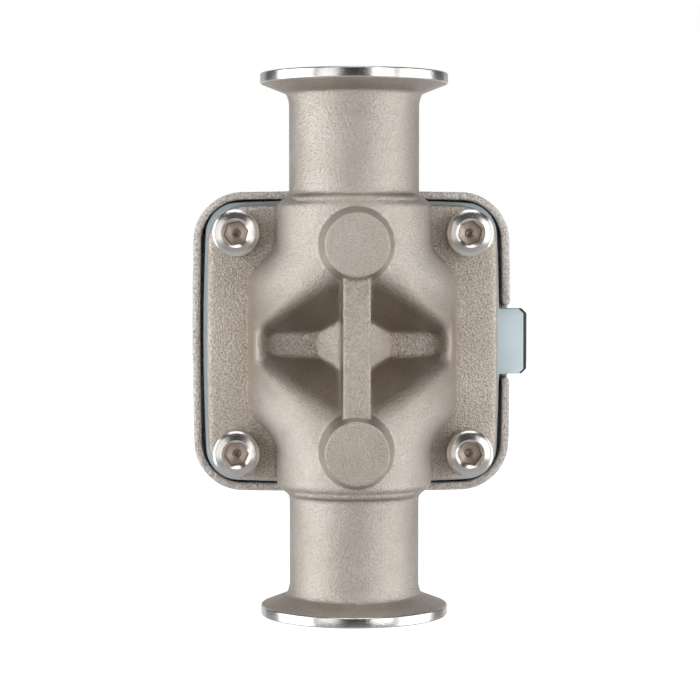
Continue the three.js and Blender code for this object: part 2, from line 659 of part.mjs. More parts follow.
// A compression spring between the piston's floor and the cover.
class Helix extends THREE.Curve {
  constructor(r, fromY, toY, turns) {
    super();
    Object.assign(this, { r, fromY, toY, turns });
  }
  getPoint(t, target = new THREE.Vector3()) {
    const angle = 2 * Math.PI * this.turns * t;
    const y = THREE.MathUtils.lerp(this.fromY, this.toY, t);
    return target.set(this.r * Math.cos(angle), y, BODY_Z + this.r * Math.sin(angle));
  }
}

function springGeometry({ r, wire, turns }) {
  const path = new Helix(r, PISTON.webY + wire + 0.1, COVER.baseY - wire - 0.1, turns);
  const section = new THREE.Shape();
  for (let i = 0; i < 6; i++) {
    const angle = (Math.PI * i) / 3;
    const corner = [wire * Math.cos(angle), wire * Math.sin(angle)];
    if (i === 0) section.moveTo(...corner);
    else section.lineTo(...corner);
  }
  return new THREE.ExtrudeGeometry(section, { steps: turns * 12, extrudePath: path });
}

// ---------------------------------------------------------------- cover and indicator

const COVER_SEAL = { fromY: 127.4, toY: 130, depth: 2.2 };
const ROD = { r: 2.5, baseY: STEM.topY - 7.5, topY: COVER.bossTopY + 0.4 };
const TIP_H = 3.4;
const DOME = { r: 13, wall: 2, topY: ROD.topY + TIP_H + STROKE + 3.2 };
const VENT = { x: -24, holeR: 4.7, r: 4.6, hexAcross: 13 };

function topCover() {
  const { baseY, topY, r, bossR, bossTopY } = COVER;
  const { fromY, toY, depth } = COVER_SEAL;
  const boreR = ROD.r + 0.1;
  const disc = turned([
    [boreR, baseY - 6],
    [11, baseY - 6],
    [13, baseY],
    [r, baseY],
    [r, fromY],
    [r - depth, fromY],
    [r - depth, toY],
    [r, toY],
    [r, topY],
    [bossR, topY],
    [bossR, bossTopY],
    [5.2, bossTopY],
    [5.2, bossTopY - 3],
    [boreR, bossTopY - 3],
  ]);
  return cut(disc, bar(VENT.holeR, baseY - 1, topY + 1, SMALL_ROUND).translate([VENT.x, 0, 0]));
}

function coverSeal() {
  const { fromY, toY, depth } = COVER_SEAL;
  return ring(COVER.r - depth + 0.05, CYLINDER_BORE_R - 0.06, fromY + 0.2, toY - 0.2);
}

// A wire ring with a gap, sprung into the cylinder's groove over the cover.
function coverRetainingRing() {
  const whole = torus(CYLINDER_BORE_R - 0.05, 1, (RING_GROOVE.fromY + RING_GROOVE.toY) / 2);
  return cut(whole, box([-3, 3], [COVER.topY - 1, COVER.topY + 4], [-45, -30]));
}

function indicatorRod() {
  return bar(ROD.r, ROD.baseY, ROD.topY, ROUND);
}

function indicatorTip() {
  return turned([[0, ROD.topY + 0.05], [4.6, ROD.topY + 0.05], [4.6, ROD.topY + TIP_H - 0.8],
    [3.8, ROD.topY + TIP_H], [0, ROD.topY + TIP_H]], SMALL_ROUND);
}

function indicatorDome() {
  const { r, wall, topY } = DOME;
  const innerR = COVER.bossR + 0.3;
  return turned([
    [innerR, COVER.topY + 0.3],
    [r, COVER.topY + 0.3],
    [r, topY - 4],
    [r - 3.5, topY],
    [0, topY],
    [0, topY - wall],
    [r - wall - 2.5, topY - wall],
    [r - wall - 1.2, topY - wall - 3],
    [innerR, COVER.bossTopY + 2],
    [innerR, COVER.topY + 2.4],
    [innerR + 1.2, COVER.topY + 2.2],
    [innerR + 1.2, COVER.topY + 0.9],
    [innerR, COVER.topY + 0.7],
  ], 32);
}

const domeSeal = () => ring(COVER.bossR + 0.1, COVER.bossR + 1.4, COVER.topY + 1.1, COVER.topY + 2, 32);
const rodSeal = () => ring(ROD.r + 0.1, 5.1, COVER.bossTopY - 2.8, COVER.bossTopY - 0.8, SMALL_ROUND);

// A sintered cone on a threaded hex base, which lets the spring side breathe.
function exhaustVent() {
  const { topY } = COVER;
  const thread = bar(VENT.r, COVER.baseY + 1, topY + 0.5, SMALL_ROUND);
  const hex = hexBar(VENT.hexAcross, topY + 0.1, topY + 4);
  const cone = turned([[0, topY + 3], [5, topY + 3], [5, topY + 5], [3.2, topY + 12], [0, topY + 13]],
    SMALL_ROUND);
  return join(thread, hex, cone).translate([VENT.x, 0, 0]);
}

// ---------------------------------------------------------------- air fitting

const BASE_Z = PORT_BOSS_Z + 0.1;
const ELBOW_Z = BASE_Z + FITTING.hexH + 0.2;

function hexAlongZ(across, fromZ, toZ) {
  const r = across / Math.sqrt(3);
  const geometry = new THREE.CylinderGeometry(r, r, toZ - fromZ, 6).rotateX(Math.PI / 2);
  return solid(geometry.translate(0, PORT_Y, BODY_Z + (fromZ + toZ) / 2));
}

// The threaded base stays in the port. Its spigot carries the swivelling elbow.
function fittingBase() {
  const thread = portBar(4.8, PORT_BOSS_Z - 3, BASE_Z + 1);
  const hex = hexAlongZ(FITTING.hexAcross, BASE_Z, BASE_Z + FITTING.hexH);
  const spigot = portBar(3, BASE_Z + FITTING.hexH - 1, ELBOW_Z + 5);
  return cut(join(thread, hex, spigot), portBar(1.8, 30, ELBOW_Z + 6, 12));
}

function fittingElbow() {
  const middleZ = ELBOW_Z + 8;
  const upright = portBar(FITTING.bodyR, ELBOW_Z, middleZ + 5);
  const armEndY = PORT_Y + FITTING.armLength;
  const along = (r, fromY, toY) => bar(r, fromY, toY, SMALL_ROUND).translate([0, 0, middleZ]);
  const whole = join(upright, along(FITTING.armR, PORT_Y, armEndY));
  return cut(whole, portBar(3.05, ELBOW_Z - 1, ELBOW_Z + 6), portBar(1.8, ELBOW_Z, middleZ + 1, 12),
    along(1.8, PORT_Y, armEndY - 5, 12), along(FITTING.tubeR, armEndY - 12, armEndY + 1),
    along(4.3, armEndY - 4, armEndY + 1));
}

// The release collar that is pushed in to free the tube.
function fittingCollar() {
  const armEndY = PORT_Y + FITTING.armLength;
  const innerY = armEndY - 4 + COLLAR_TRAVEL + 0.3;
  const shape = turned([[3.1, innerY], [4.2, innerY], [4.2, armEndY + COLLAR_TRAVEL + 0.2],
    [5.2, armEndY + COLLAR_TRAVEL + 0.2], [5.2, armEndY + COLLAR_TRAVEL + 1.8],
    [3.1, armEndY + COLLAR_TRAVEL + 1.8]], SMALL_ROUND);
  return shape.translate([0, 0, ELBOW_Z + 8]);
}

// ---------------------------------------------------------------- the assembly

const assembly = new THREE.Group();

function add(name, colour, made) {
  const geometry = made.isBufferGeometry ? made : geometryOf(made);
  const mesh = new THREE.Mesh(geometry, new THREE.MeshStandardMaterial(COLOURS[colour]));
  mesh.name = name;
  assembly.add(mesh);
}

add("valve_body", "cast", valveBody());
add("diaphragm_ptfe", "ptfe", diaphragmPtfe());
add("diaphragm_epdm", "rubber", diaphragmEpdm());
add("diaphragm_stud", "steel", diaphragmStud());
add("compressor", "aluminium", compressor());
add("compressor_pin", "steel", crossPin(PIN.r, PIN.halfLength));
add("stem", "steel", stem());
add("bonnet", "roughCast", bonnet());
add("stem_bush", "bronze", stemBush());
STEM_SEAL.ys.forEach((y, i) => add(`stem_o_ring_${i + 1}`, "rubber", stemSeal(y)));
add("stem_wiper", "rubber", stemWiper());
[12, 18, -8, 5].forEach((turn, i) => {
  add(`body_screw_${i + 1}`, "steel", atEachScrew(bodyScrew(turn))[i]);
});
add("cylinder", "steel", cylinder());
add("cylinder_o_ring", "rubber", ring(BASE_GROOVE.innerR + 0.3, BASE_GROOVE.outerR - 0.3,
  CYLINDER_BASE_Y + 0.05, CYLINDER_BASE_Y + BASE_GROOVE.depth - 0.1));
atEachBaseScrew(baseScrew()).forEach((made, i) => add(`cylinder_screw_${i + 1}`, "steel", made));
add("piston", "aluminium", piston());
add("piston_seal", "rubber", pistonSeal());
add("piston_guide_ring", "guide", pistonGuideRing());
add("piston_washer", "steel", ring(STEM.threadR + 0.1, 10, PISTON.topY + 0.05, PISTON.topY + 1.6));
add("piston_nut", "steel", pistonNut());
add("spring_outer", "spring", springGeometry(SPRINGS.outer));
add("spring_inner", "spring", springGeometry(SPRINGS.inner));
add("top_cover", "aluminium", topCover());
add("cover_o_ring", "rubber", coverSeal());
add("cover_retaining_ring", "spring", coverRetainingRing());
add("indicator_rod", "steel", indicatorRod());
add("indicator_tip", "signal", indicatorTip());
add("indicator_o_ring", "rubber", rodSeal());
add("indicator_dome", "clear", indicatorDome());
add("dome_o_ring", "rubber", domeSeal());
add("exhaust_vent", "bronze", exhaustVent());
add("air_fitting_base", "steel", fittingBase());
add("air_fitting_elbow", "plastic", fittingElbow());
add("air_fitting_collar", "collar", fittingCollar());

export default assembly;
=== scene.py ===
"""The looks of a DN 32 pneumatic diaphragm valve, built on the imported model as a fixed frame.

Sizes are in millimetres until a mesh is made. Y runs from the pipe's axis to the actuator, and
H is the height above the middle of the body, so the stem's axis is X 0, H 0.
"""

import math

import bmesh
import bpy
import numpy as np
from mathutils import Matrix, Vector


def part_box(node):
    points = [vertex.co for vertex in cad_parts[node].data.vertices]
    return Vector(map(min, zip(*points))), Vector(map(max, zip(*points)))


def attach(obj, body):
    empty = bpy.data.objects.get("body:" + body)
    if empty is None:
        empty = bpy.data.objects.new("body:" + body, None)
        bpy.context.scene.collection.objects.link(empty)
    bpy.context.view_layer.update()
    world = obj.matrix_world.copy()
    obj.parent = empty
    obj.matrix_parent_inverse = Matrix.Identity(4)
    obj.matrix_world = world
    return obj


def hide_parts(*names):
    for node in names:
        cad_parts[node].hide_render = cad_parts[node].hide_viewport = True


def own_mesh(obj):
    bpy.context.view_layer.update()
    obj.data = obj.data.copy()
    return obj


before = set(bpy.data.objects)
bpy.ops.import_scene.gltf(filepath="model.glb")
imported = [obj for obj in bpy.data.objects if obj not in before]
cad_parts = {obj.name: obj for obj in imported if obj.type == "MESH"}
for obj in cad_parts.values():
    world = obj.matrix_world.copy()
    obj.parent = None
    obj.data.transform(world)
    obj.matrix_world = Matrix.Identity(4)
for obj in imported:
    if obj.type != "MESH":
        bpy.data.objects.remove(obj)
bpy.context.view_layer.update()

MM = 0.001
SMOOTH_COARSE = 0.12    # how coarse the body's smoothest skin is, from 0 to 1
TURNED_SHARP = 40    # degrees: a turned piece keeps edges sharper than this


# ------------------------------------------------------------ sizes, from the frame where it has them

def span(node, axis):
    """A CAD node's lowest and highest place along one axis, in millimetres."""
    low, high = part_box(node)
    return low[axis] / MM, high[axis] / MM


FACE_TO_FACE = span("valve_body", 2)[1]
MIDDLE = FACE_TO_FACE / 2
TUBE_R, BORE_R, BARREL_R = 17.5, 16.0, 20.9
FERRULE_R, FERRULE_RIM = 25.25, 2.85
BOWL_HALF_WIDTH, BOWL_STRAIGHT, BOWL_END = 28.7, 16.5, 28.5
FLARE_START, FLARE_END, BEAD_H, BEAD_R = 37.0, 42.2, 39.7, 0.7
PAD_Y, SEAL_Y = 13.0, 22.0
FLANGE_X, FLANGE_H, FLANGE_CORNER, SIDE_BULGE = 40.3, 38.4, 10.0, 0.7
DISC_H, DISC_BASE_R, DISC_FACE_R = 27.0, 9.85, 8.4
DISC_Y = span("valve_body", 1)[0]
RIB_Y, RIB_HALF = -25.0, 3.6
CREST_Y, CHAMBER_Y, OPENING_R, WEB_R = 8.0, 9, 25.2, 25.0
WEIR_SLOPE = math.tan(math.radians(55))
CAST_END = 44.0

# The ridge at the bottom of the hollow rises towards its ends and swells where it meets the rib.
RIDGE_Y, RIDGE_HALF, RIDGE_END, RIDGE_RISE = 2.2, 3.0, 25.6, 2.2
SWELL_START, SWELL_RUN, SWELL_DEPTH, SWELL_WIDTH = 9.8, 6.0, 5.2, 3.4
# The hollow's mouth narrows from the rib to its ends, where a steep plane closes it.
MOUTH_END, MOUTH_END_HALF, MOUTH_SPREAD, MOUTH_BULGE = 25.8, 3.8, 0.66, 1.2
HOLLOW_END_X, HOLLOW_END_Y, HOLLOW_END_NORMAL = 22.2, 4.0, (0.86, 0.51)

SCREWS = [(-32, 30.25), (32, 30.25), (32, -30.25), (-32, -30.25)]
SCREW_TURNS = [12, 18, -8, 5]
SCREW_HOLE_R, SCREW_HOLE_END = 4.2, 39.5
HEAD_R, HEAD_H, SHANK_R, SCREW_REACH = 6.5, 8, 3.9, 25
HEX_ACROSS, HEX_DEPTH = 6, 4
DIMPLE_ROWS, SOCKET_ROWS = 2, 6    # bands of faces, from the socket's middle outward

PTFE_RIM, PTFE_WEB, PTFE_OVERHANG = 1.5, 1.2, 1.2
EPDM_RIM, EPDM_WEB, EPDM_OVERHANG = 4.0, 2.4, 1.4
TAB_HALF, TAB_CHAMFER, PTFE_TAB_X, EPDM_TAB_X = 9.2, 1.4, 48.3, 49.4
LAYER_GAP, STUD_HOLE_R = 0.03, 3.1
PTFE_Y = SEAL_Y + PTFE_RIM
DIAPHRAGM_Y = PTFE_Y + EPDM_RIM
BONNET_X, BONNET_H, BONNET_CORNER, RIM_WALL = 44.6, 42.2, 13.0, 2.2
RIM_Y, BONNET_TOP = span("bonnet", 1)
RIM_SETBACK = 0.8
BONNET_BACK_Y, NECK_R = 41.0, 31.0
WELL_R, WELL_Y, BUSH_R = 26.0, 42.5, 9.05
WINDOW_HALF = 10.2
LEAK_Y, LEAK_R = 38.5, 1.6
PORT_Y = sum(span("air_fitting_base", 1)) / 2
PORT_BOSS_LOW, PORT_BOSS_HIGH = MIDDLE + 39, MIDDLE + 45
CYLINDER_R, CYLINDER_WALL, STROKE, VENT_X = 41.0, 2.5, 14, -24.0


# ------------------------------------------------------------ meshes

def mesh_object(name, vertices, faces, materials, smooth_angle=None):
    """A mesh piece from points in millimetres, smooth, or with edges over an angle kept sharp."""
    mesh = bpy.data.meshes.new(name)
    mesh.from_pydata((np.asarray(vertices, float) * MM).tolist(), [], [list(f) for f in faces])
    mesh.polygons.foreach_set("use_smooth", [True] * len(mesh.polygons))
    if smooth_angle is not None:
        mesh.set_sharp_from_angle(angle=math.radians(smooth_angle))
    for material in np.atleast_1d(materials):
        mesh.materials.append(material)
    mesh.validate()
    obj = bpy.data.objects.new(name, mesh)
    bpy.context.scene.collection.objects.link(obj)
    return obj


def loft(loops, close=False, cap=True):
    """Vertices and faces of a skin through loops of equal length; close joins the last to the first."""
    loops = [np.asarray(loop, float) for loop in loops]
    count = len(loops[0])
    faces = []
    rows = len(loops) if close else len(loops) - 1
    for row in range(rows):
        a, b = row * count, ((row + 1) % len(loops)) * count
        faces += [(a + i, a + (i + 1) % count, b + (i + 1) % count, b + i) for i in range(count)]
    if cap and not close:
        last = (len(loops) - 1) * count
        faces += [tuple(range(count))[::-1], tuple(range(last, last + count))]
    return np.concatenate(loops), faces


def circle(r, count, place):
    """A loop of radius r; place turns its two in-plane coordinates into points."""
    angle = np.linspace(0, 2 * np.pi, count, endpoint=False)
    return place(r * np.cos(angle), r * np.sin(angle))


def about_stem(y, x0=0.0, h0=0.0):
    """Points of a loop that lies across the stem, at a distance y along it."""
    return lambda a, b: np.stack([a + x0, np.full_like(a, y), MIDDLE + h0 + b], axis=1)


def about_pipe(z):
    """Points of a loop that lies across the pipe, at a distance z along it."""
    return lambda a, b: np.stack([a, b, np.full_like(a, z)], axis=1)


def about_port(z):
    """Points of a loop that lies across the air port's axis, which runs along Z."""
    return lambda a, b: np.stack([a, PORT_Y + b, np.full_like(a, z)], axis=1)


def rounded(points, radius, steps=4, closed=False):
    """A profile with its corners rounded. A corner takes at most a third of its shorter side."""
    points = [np.asarray(p, float) for p in points]
    out = []
    for i, point in enumerate(points):
        ends = not closed and i in (0, len(points) - 1)
        before, after = points[i - 1], points[(i + 1) % len(points)]
        lengths = (np.linalg.norm(before - point), np.linalg.norm(after - point))
        if ends or min(lengths) < 1e-6:
            out.append(point)
            continue
        reach = min(radius, min(lengths) / 3)
        start = point + (before - point) * reach / lengths[0]
        stop = point + (after - point) * reach / lengths[1]
        for t in np.linspace(0, 1, steps):
            out.append((1 - t) ** 2 * start + 2 * t * (1 - t) * point + t**2 * stop)
    return out


def turned(name, profile, place, material, count=128, radius=0.3, closed=False):
    """A solid of revolution from (radius, distance) points, its corners rounded."""
    points = rounded(profile, radius, closed=closed)
    loops = [circle(max(r, 1e-3), count, place(d)) for r, d in points]
    return mesh_object(name, *loft(loops, close=closed, cap=not closed), material, TURNED_SHARP)


# ------------------------------------------------------------ smooth castings from distance fields

def smooth_union(a, b, k):
    """a and b joined, with a fillet of about k between them."""
    h = np.clip(0.5 + 0.5 * (b - a) / k, 0, 1)
    return b + (a - b) * h - k * h * (1 - h)


def smooth_cut(a, b, k):
    """a with b taken away, the new edges rounded."""
    return -smooth_union(-a, b, k)


def smooth_both(a, b, k):
    """What a and b have in common, its edges rounded."""
    return -smooth_union(-a, -b, k)


def smoothstep(low, high, value):
    """Goes from 0 at low to 1 at high along an S-curve. low may be the larger one."""
    t = np.clip((value - low) / (high - low), 0, 1)
    return t * t * (3 - 2 * t)


def cushion(x, h, half_x, half_h, corner):
    """Distance from a rectangle with round corners and sides that bulge a little."""
    reach_x = half_x - SIDE_BULGE * (h / half_h) ** 2 - corner
    reach_h = half_h - SIDE_BULGE * (x / half_x) ** 2 - corner
    qx, qh = np.abs(x) - reach_x, np.abs(h) - reach_h
    return np.hypot(np.maximum(qx, 0), np.maximum(qh, 0)) + np.minimum(np.maximum(qx, qh), 0) - corner


def slab(outline, y, low, high, edge):
    """An outline given thickness along Y, with its edges rounded."""
    across = np.abs(y - (low + high) / 2) - (high - low) / 2
    a, b = outline + edge, across + edge
    return np.hypot(np.maximum(a, 0), np.maximum(b, 0)) + np.minimum(np.maximum(a, b), 0) - edge


def dome(r, y, half_width, middle_y, depth):
    """Distance from an ellipse below middle_y, with straight sides above it."""
    dy = np.minimum(y - middle_y, 0)
    k0 = np.hypot(r / half_width, dy / depth) + 1e-6
    k1 = np.hypot(r / half_width**2, dy / depth**2) + 1e-6
    return k0 * (k0 - 1) / k1


def trough(h, y, half, floor_y, slope):
    """Distance from a trough across the pipe, whose mouth faces the belly."""
    side = ((np.abs(h) - half) * slope + (y - floor_y)) / np.sqrt(1 + slope**2)
    return smooth_both(side, y - floor_y, 1.2)


def ridge(x):
    """Height and half width of the ridge at the bottom of the hollow under the weir."""
    near_rib = np.clip((SWELL_START - np.abs(x)) / SWELL_RUN, 0, 1)
    height = RIDGE_Y + RIDGE_RISE * (x / RIDGE_END) ** 2 - SWELL_DEPTH * near_rib
    return height, RIDGE_HALF + SWELL_WIDTH * near_rib


def hollow(x, y, h):
    """Distance from the hollow under the weir, whose mouth is a soft diamond with sloping ends."""
    ridge_y, half = ridge(x)
    near = np.minimum(np.abs(x), MOUTH_END)
    bulge = MOUTH_BULGE * np.sin(np.pi * near / MOUTH_END)
    mouth = MOUTH_END_HALF + MOUTH_SPREAD * (MOUTH_END - near) + bulge
    bowl_y = PAD_Y - (BARREL_R + PAD_Y) * np.sqrt(1 - (near / BOWL_HALF_WIDTH) ** 2)
    slope = (ridge_y - bowl_y) / (mouth - half)
    across, along = HOLLOW_END_NORMAL
    end = (np.abs(x) - HOLLOW_END_X) * across + (y - HOLLOW_END_Y) * along
    return smooth_both(trough(h, y, half, ridge_y, slope), end, 3.0)


def painted_recess_shade(x, y, h):
    """Painted shade on the hollow's slopes, from 0 to 1, with fainter painted shade round the mouth."""
    away = hollow(x, y, h)
    # painted shade on the hollow's slopes
    slopes = smoothstep(3.0, 0.0, away) * smoothstep(24, 13, np.abs(x))
    # painted shade round the hollow's mouth, on the bowl near it
    stain_and_painted_shade = 0.8 * smoothstep(10.0, 2.0, away) * smoothstep(PAD_Y, PAD_Y - 5, y)
    above_ridge = smoothstep(0.3, 2.5, ridge(x)[0] - y)
    return smoothstep(-22, -17, y) * np.maximum(slopes * above_ridge, stain_and_painted_shade * (away > 0.3))


def painted_crease_shade(x, y, h):
    """Painted shade in the crease between the bowl and a pad, from 0 to 1."""
    high = np.abs(h)
    at_pad = (np.abs(y - PAD_Y + 0.8) < 1.6) & (high < FLANGE_H - 1)
    return smoothstep(1.3, 0.3, np.abs(np.abs(x) - bowl_half_width(high, BARREL_R))) * at_pad


def bowl_half_width(high, barrel_r):
    """Half width of the bowl, which narrows to the barrel on its way out."""
    return BOWL_HALF_WIDTH + (barrel_r - BOWL_HALF_WIDTH) * smoothstep(BOWL_STRAIGHT, BOWL_END, high)


def bowl_and_tube(x, y, high):
    """Distance from the bowl, the barrel with its bead, and the tube into which it flares down."""
    rho = np.hypot(x, y)
    barrel_r = BARREL_R + (TUBE_R - 0.8 - BARREL_R) * smoothstep(FLARE_START, FLARE_END, high)
    width = bowl_half_width(high, barrel_r)
    to_barrel = smoothstep(BOWL_STRAIGHT, BOWL_END, high)
    middle_y = PAD_Y * (1 - to_barrel)
    bowl = np.where(y > middle_y, np.hypot(x, np.maximum(y, 0) * to_barrel) - width,
                    dome(x, y, width, middle_y, barrel_r + middle_y))
    bowl = np.maximum(bowl, y - SEAL_Y + 1)
    bead = np.hypot(rho - barrel_r - 0.15, high - BEAD_H) - BEAD_R * smoothstep(18, 15, np.abs(x))
    return smooth_union(smooth_union(bowl, rho - TUBE_R, 1.0), bead, 0.2)


def rib(x, y, high):
    """Distance from the rib that joins the two belly discs."""
    return np.maximum(slab(np.abs(x) - RIB_HALF, y, RIB_Y, CREST_Y, 0.7), high - DISC_H)


def belly_disc(x, y, high):
    """Distance from a belly disc, a little wider at its base than at its face."""
    cone_r = DISC_BASE_R - (DISC_BASE_R - DISC_FACE_R) * np.clip((-21.5 - y) / 8, 0, 1)
    return slab(np.hypot(x, high - DISC_H) - cone_r, y, DISC_Y + 0.05, -12, 0.4)


def waterway(x, y, h):
    """Distance from the bore and the diaphragm's chamber, less the weir that stands in them."""
    chamber = dome(np.hypot(x, h), y, OPENING_R, CHAMBER_Y, CHAMBER_Y + BORE_R)
    crest_y = CREST_Y - 0.4 + (SEAL_Y - CREST_Y) * (x / WEB_R) ** 2
    open_room = smooth_union(np.hypot(x, y) - BORE_R, chamber, 2.5)
    return smooth_cut(open_room, trough(h, y, 2, crest_y, WEIR_SLOPE), 2.5)


def body_field(x, y, h):
    """Distance from the cast body, between the two tubes."""
    high = np.abs(h)
    shell = smooth_cut(bowl_and_tube(x, y, high), hollow(x, y, h), 4.2)
    flange = slab(cushion(x, h, FLANGE_X, FLANGE_H, FLANGE_CORNER), y, PAD_Y, SEAL_Y + 4, 1.7)
    shell = smooth_union(shell, flange, 0.9)
    shell = smooth_union(shell, rib(x, y, high), 1.4)
    shell = smooth_union(shell, belly_disc(x, y, high), 0.7)
    shell = np.maximum(shell, -waterway(x, y, h))
    for sx, sh in SCREWS:
        shell = np.maximum(shell, SCREW_HOLE_R - np.hypot(x - sx, h - sh))
    return np.maximum(shell, y - SEAL_Y)


def bonnet_field(x, y, h):
    """Distance from the rough bonnet: a rim round the diaphragm, a thick plate and a neck."""
    outer = cushion(x, h, BONNET_X - 0.1, BONNET_H - 0.1, BONNET_CORNER)
    shell = slab(outer, y, RIM_Y + RIM_SETBACK, BONNET_BACK_Y, 0.6)
    r = np.hypot(x, h)
    neck = slab(r - NECK_R, y, BONNET_BACK_Y - 6, BONNET_TOP, 0.6)
    shell = smooth_union(shell, neck, 4)
    room = cushion(x, h, BONNET_X - RIM_WALL, BONNET_H - RIM_WALL, BONNET_CORNER - RIM_WALL)
    shell = smooth_cut(shell, np.maximum(room, y - DIAPHRAGM_Y), 0.5)
    window = slab(np.abs(h) - WINDOW_HALF, y, RIM_Y - 6, DIAPHRAGM_Y + 0.3, 1.0)
    shell = smooth_cut(shell, np.maximum(window, 30 - x), 1.2)
    shell = np.maximum(shell, -np.maximum(r - WELL_R, y - WELL_Y))
    shell = np.maximum(shell, BUSH_R - r)
    for sx, sh in SCREWS:
        hole = np.hypot(x - sx, h - sh) - SCREW_HOLE_R
        shell = np.maximum(shell, -np.maximum(hole, y - SCREW_HOLE_END))
    return np.maximum(shell, -np.maximum(np.hypot(y - LEAK_Y, h) - LEAK_R, 20 - x))


def grid_noise(points, size, seed):
    """Smooth noise from -1 to 1, its lumps about size millimetres across."""
    cells = 48
    table = np.random.default_rng(seed).uniform(-1, 1, (cells, cells, cells))
    place = points / size
    base = np.floor(place).astype(int)
    t = place - base
    t = t * t * (3 - 2 * t)
    total = np.zeros(len(points))
    for corner in np.ndindex(2, 2, 2):
        weight = np.prod(np.where(corner, t, 1 - t), axis=1)
        i, j, k = ((base + corner) % cells).T
        total += weight * table[i, j, k]
    return total


def net_of(field, low, high, step):
    """Vertices and quads of the surface where the field is zero, one vertex in each crossed cell."""
    axes = [np.arange(a, b + step, step) for a, b in zip(low, high)]
    grid = np.meshgrid(*axes, indexing="ij")
    value = field(*grid).astype(np.float32)
    cells = tuple(n - 1 for n in value.shape)
    total = np.zeros(cells + (3,), np.float32)
    crossings = np.zeros(cells, np.int16)
    for axis in range(3):
        others = [a for a in range(3) if a != axis]
        for offset in np.ndindex(2, 2):
            shift = [0, 0, 0]
            shift[others[0]], shift[others[1]] = offset
            start = tuple(slice(s, s + n) for s, n in zip(shift, cells))
            shift[axis] = 1
            stop = tuple(slice(s, s + n) for s, n in zip(shift, cells))
            a, b = value[start], value[stop]
            crossed = (a < 0) != (b < 0)
            t = np.where(crossed, a / np.where(crossed, a - b, 1), 0)
            crossings += crossed
            total[..., axis] += t
            for other, o in zip(others, offset):
                total[..., other] += o * crossed
    active = crossings > 0
    index = np.full(cells, -1)
    index[active] = np.arange(active.sum())
    where = np.argwhere(active)
    vertices = np.array(low) + step * (where + total[active] / crossings[active][:, None])
    quads = []
    for axis in range(3):
        u, v = (axis + 1) % 3, (axis + 2) % 3
        inner = [slice(1, -1)] * 3
        inner[axis] = slice(0, -1)
        a = value[tuple(inner)]
        inner[axis] = slice(1, None)
        b = value[tuple(inner)]
        for flipped in (False, True):
            crossed = (a < 0) & (b >= 0) if not flipped else (a >= 0) & (b < 0)
            base = np.argwhere(crossed)
            base[:, u] += 1
            base[:, v] += 1
            corners = []
            for du, dv in ((0, 0), (-1, 0), (-1, -1), (0, -1)):
                cell = base.copy()
                cell[:, u] += du
                cell[:, v] += dv
                corners.append(index[tuple(cell.T)])
            quad = np.stack(corners, axis=1)
            quads.append(quad[:, ::-1] if flipped else quad)
    return vertices, np.concatenate(quads)


def settle(vertices, field, rounds=3, reach=0.4):
    """Moves each vertex onto the field's zero surface, and gives the surface's normals too."""
    for _ in range(rounds):
        value, slope = value_and_slope(vertices, field)
        move = -value[:, None] * slope / np.maximum((slope**2).sum(1), 0.2)[:, None]
        length = np.linalg.norm(move, axis=1, keepdims=True)
        vertices = vertices + move * np.minimum(1, reach / np.maximum(length, 1e-9))
    slope = value_and_slope(vertices, field)[1]
    return vertices, slope / np.maximum(np.linalg.norm(slope, axis=1, keepdims=True), 1e-6)


def value_and_slope(points, field, delta=0.05):
    """The field at some points, and how it changes along each axis there."""
    value = field(*points.T)
    slope = []
    for axis in range(3):
        step = np.zeros(3)
        step[axis] = delta
        slope.append((field(*(points + step).T) - field(*(points - step).T)) / (2 * delta))
    return value, np.stack(slope, axis=1)


def paint(obj, name, values):
    """Keeps one number for each vertex, for the material to read."""
    layer = obj.data.attributes.new(name, "FLOAT", "POINT")
    layer.data.foreach_set("value", np.asarray(values, np.float32))


def cast_object(name, field, low, high, step, material, skin_of):
    """A casting from a field. skin_of gives where its skin is coarse and where it is painted darker, from 0
    to 1; on the body that is mostly painted shade.
    """
    vertices, quads = net_of(field, low, high, step)
    vertices, normals = settle(vertices, field)
    coarse, dark = skin_of(*vertices.T)
    grain = 0.6 * grid_noise(vertices, 1.1, 3) + 0.4 * grid_noise(vertices, 2.6, 4)
    vertices = vertices + normals * (0.06 * coarse * grain)[:, None]
    place = vertices + np.array([0, 0, MIDDLE])
    obj = mesh_object(name, place, quads, material)
    paint(obj, "coarse", coarse)
    paint(obj, "dark", dark)
    return obj


# ------------------------------------------------------------ materials

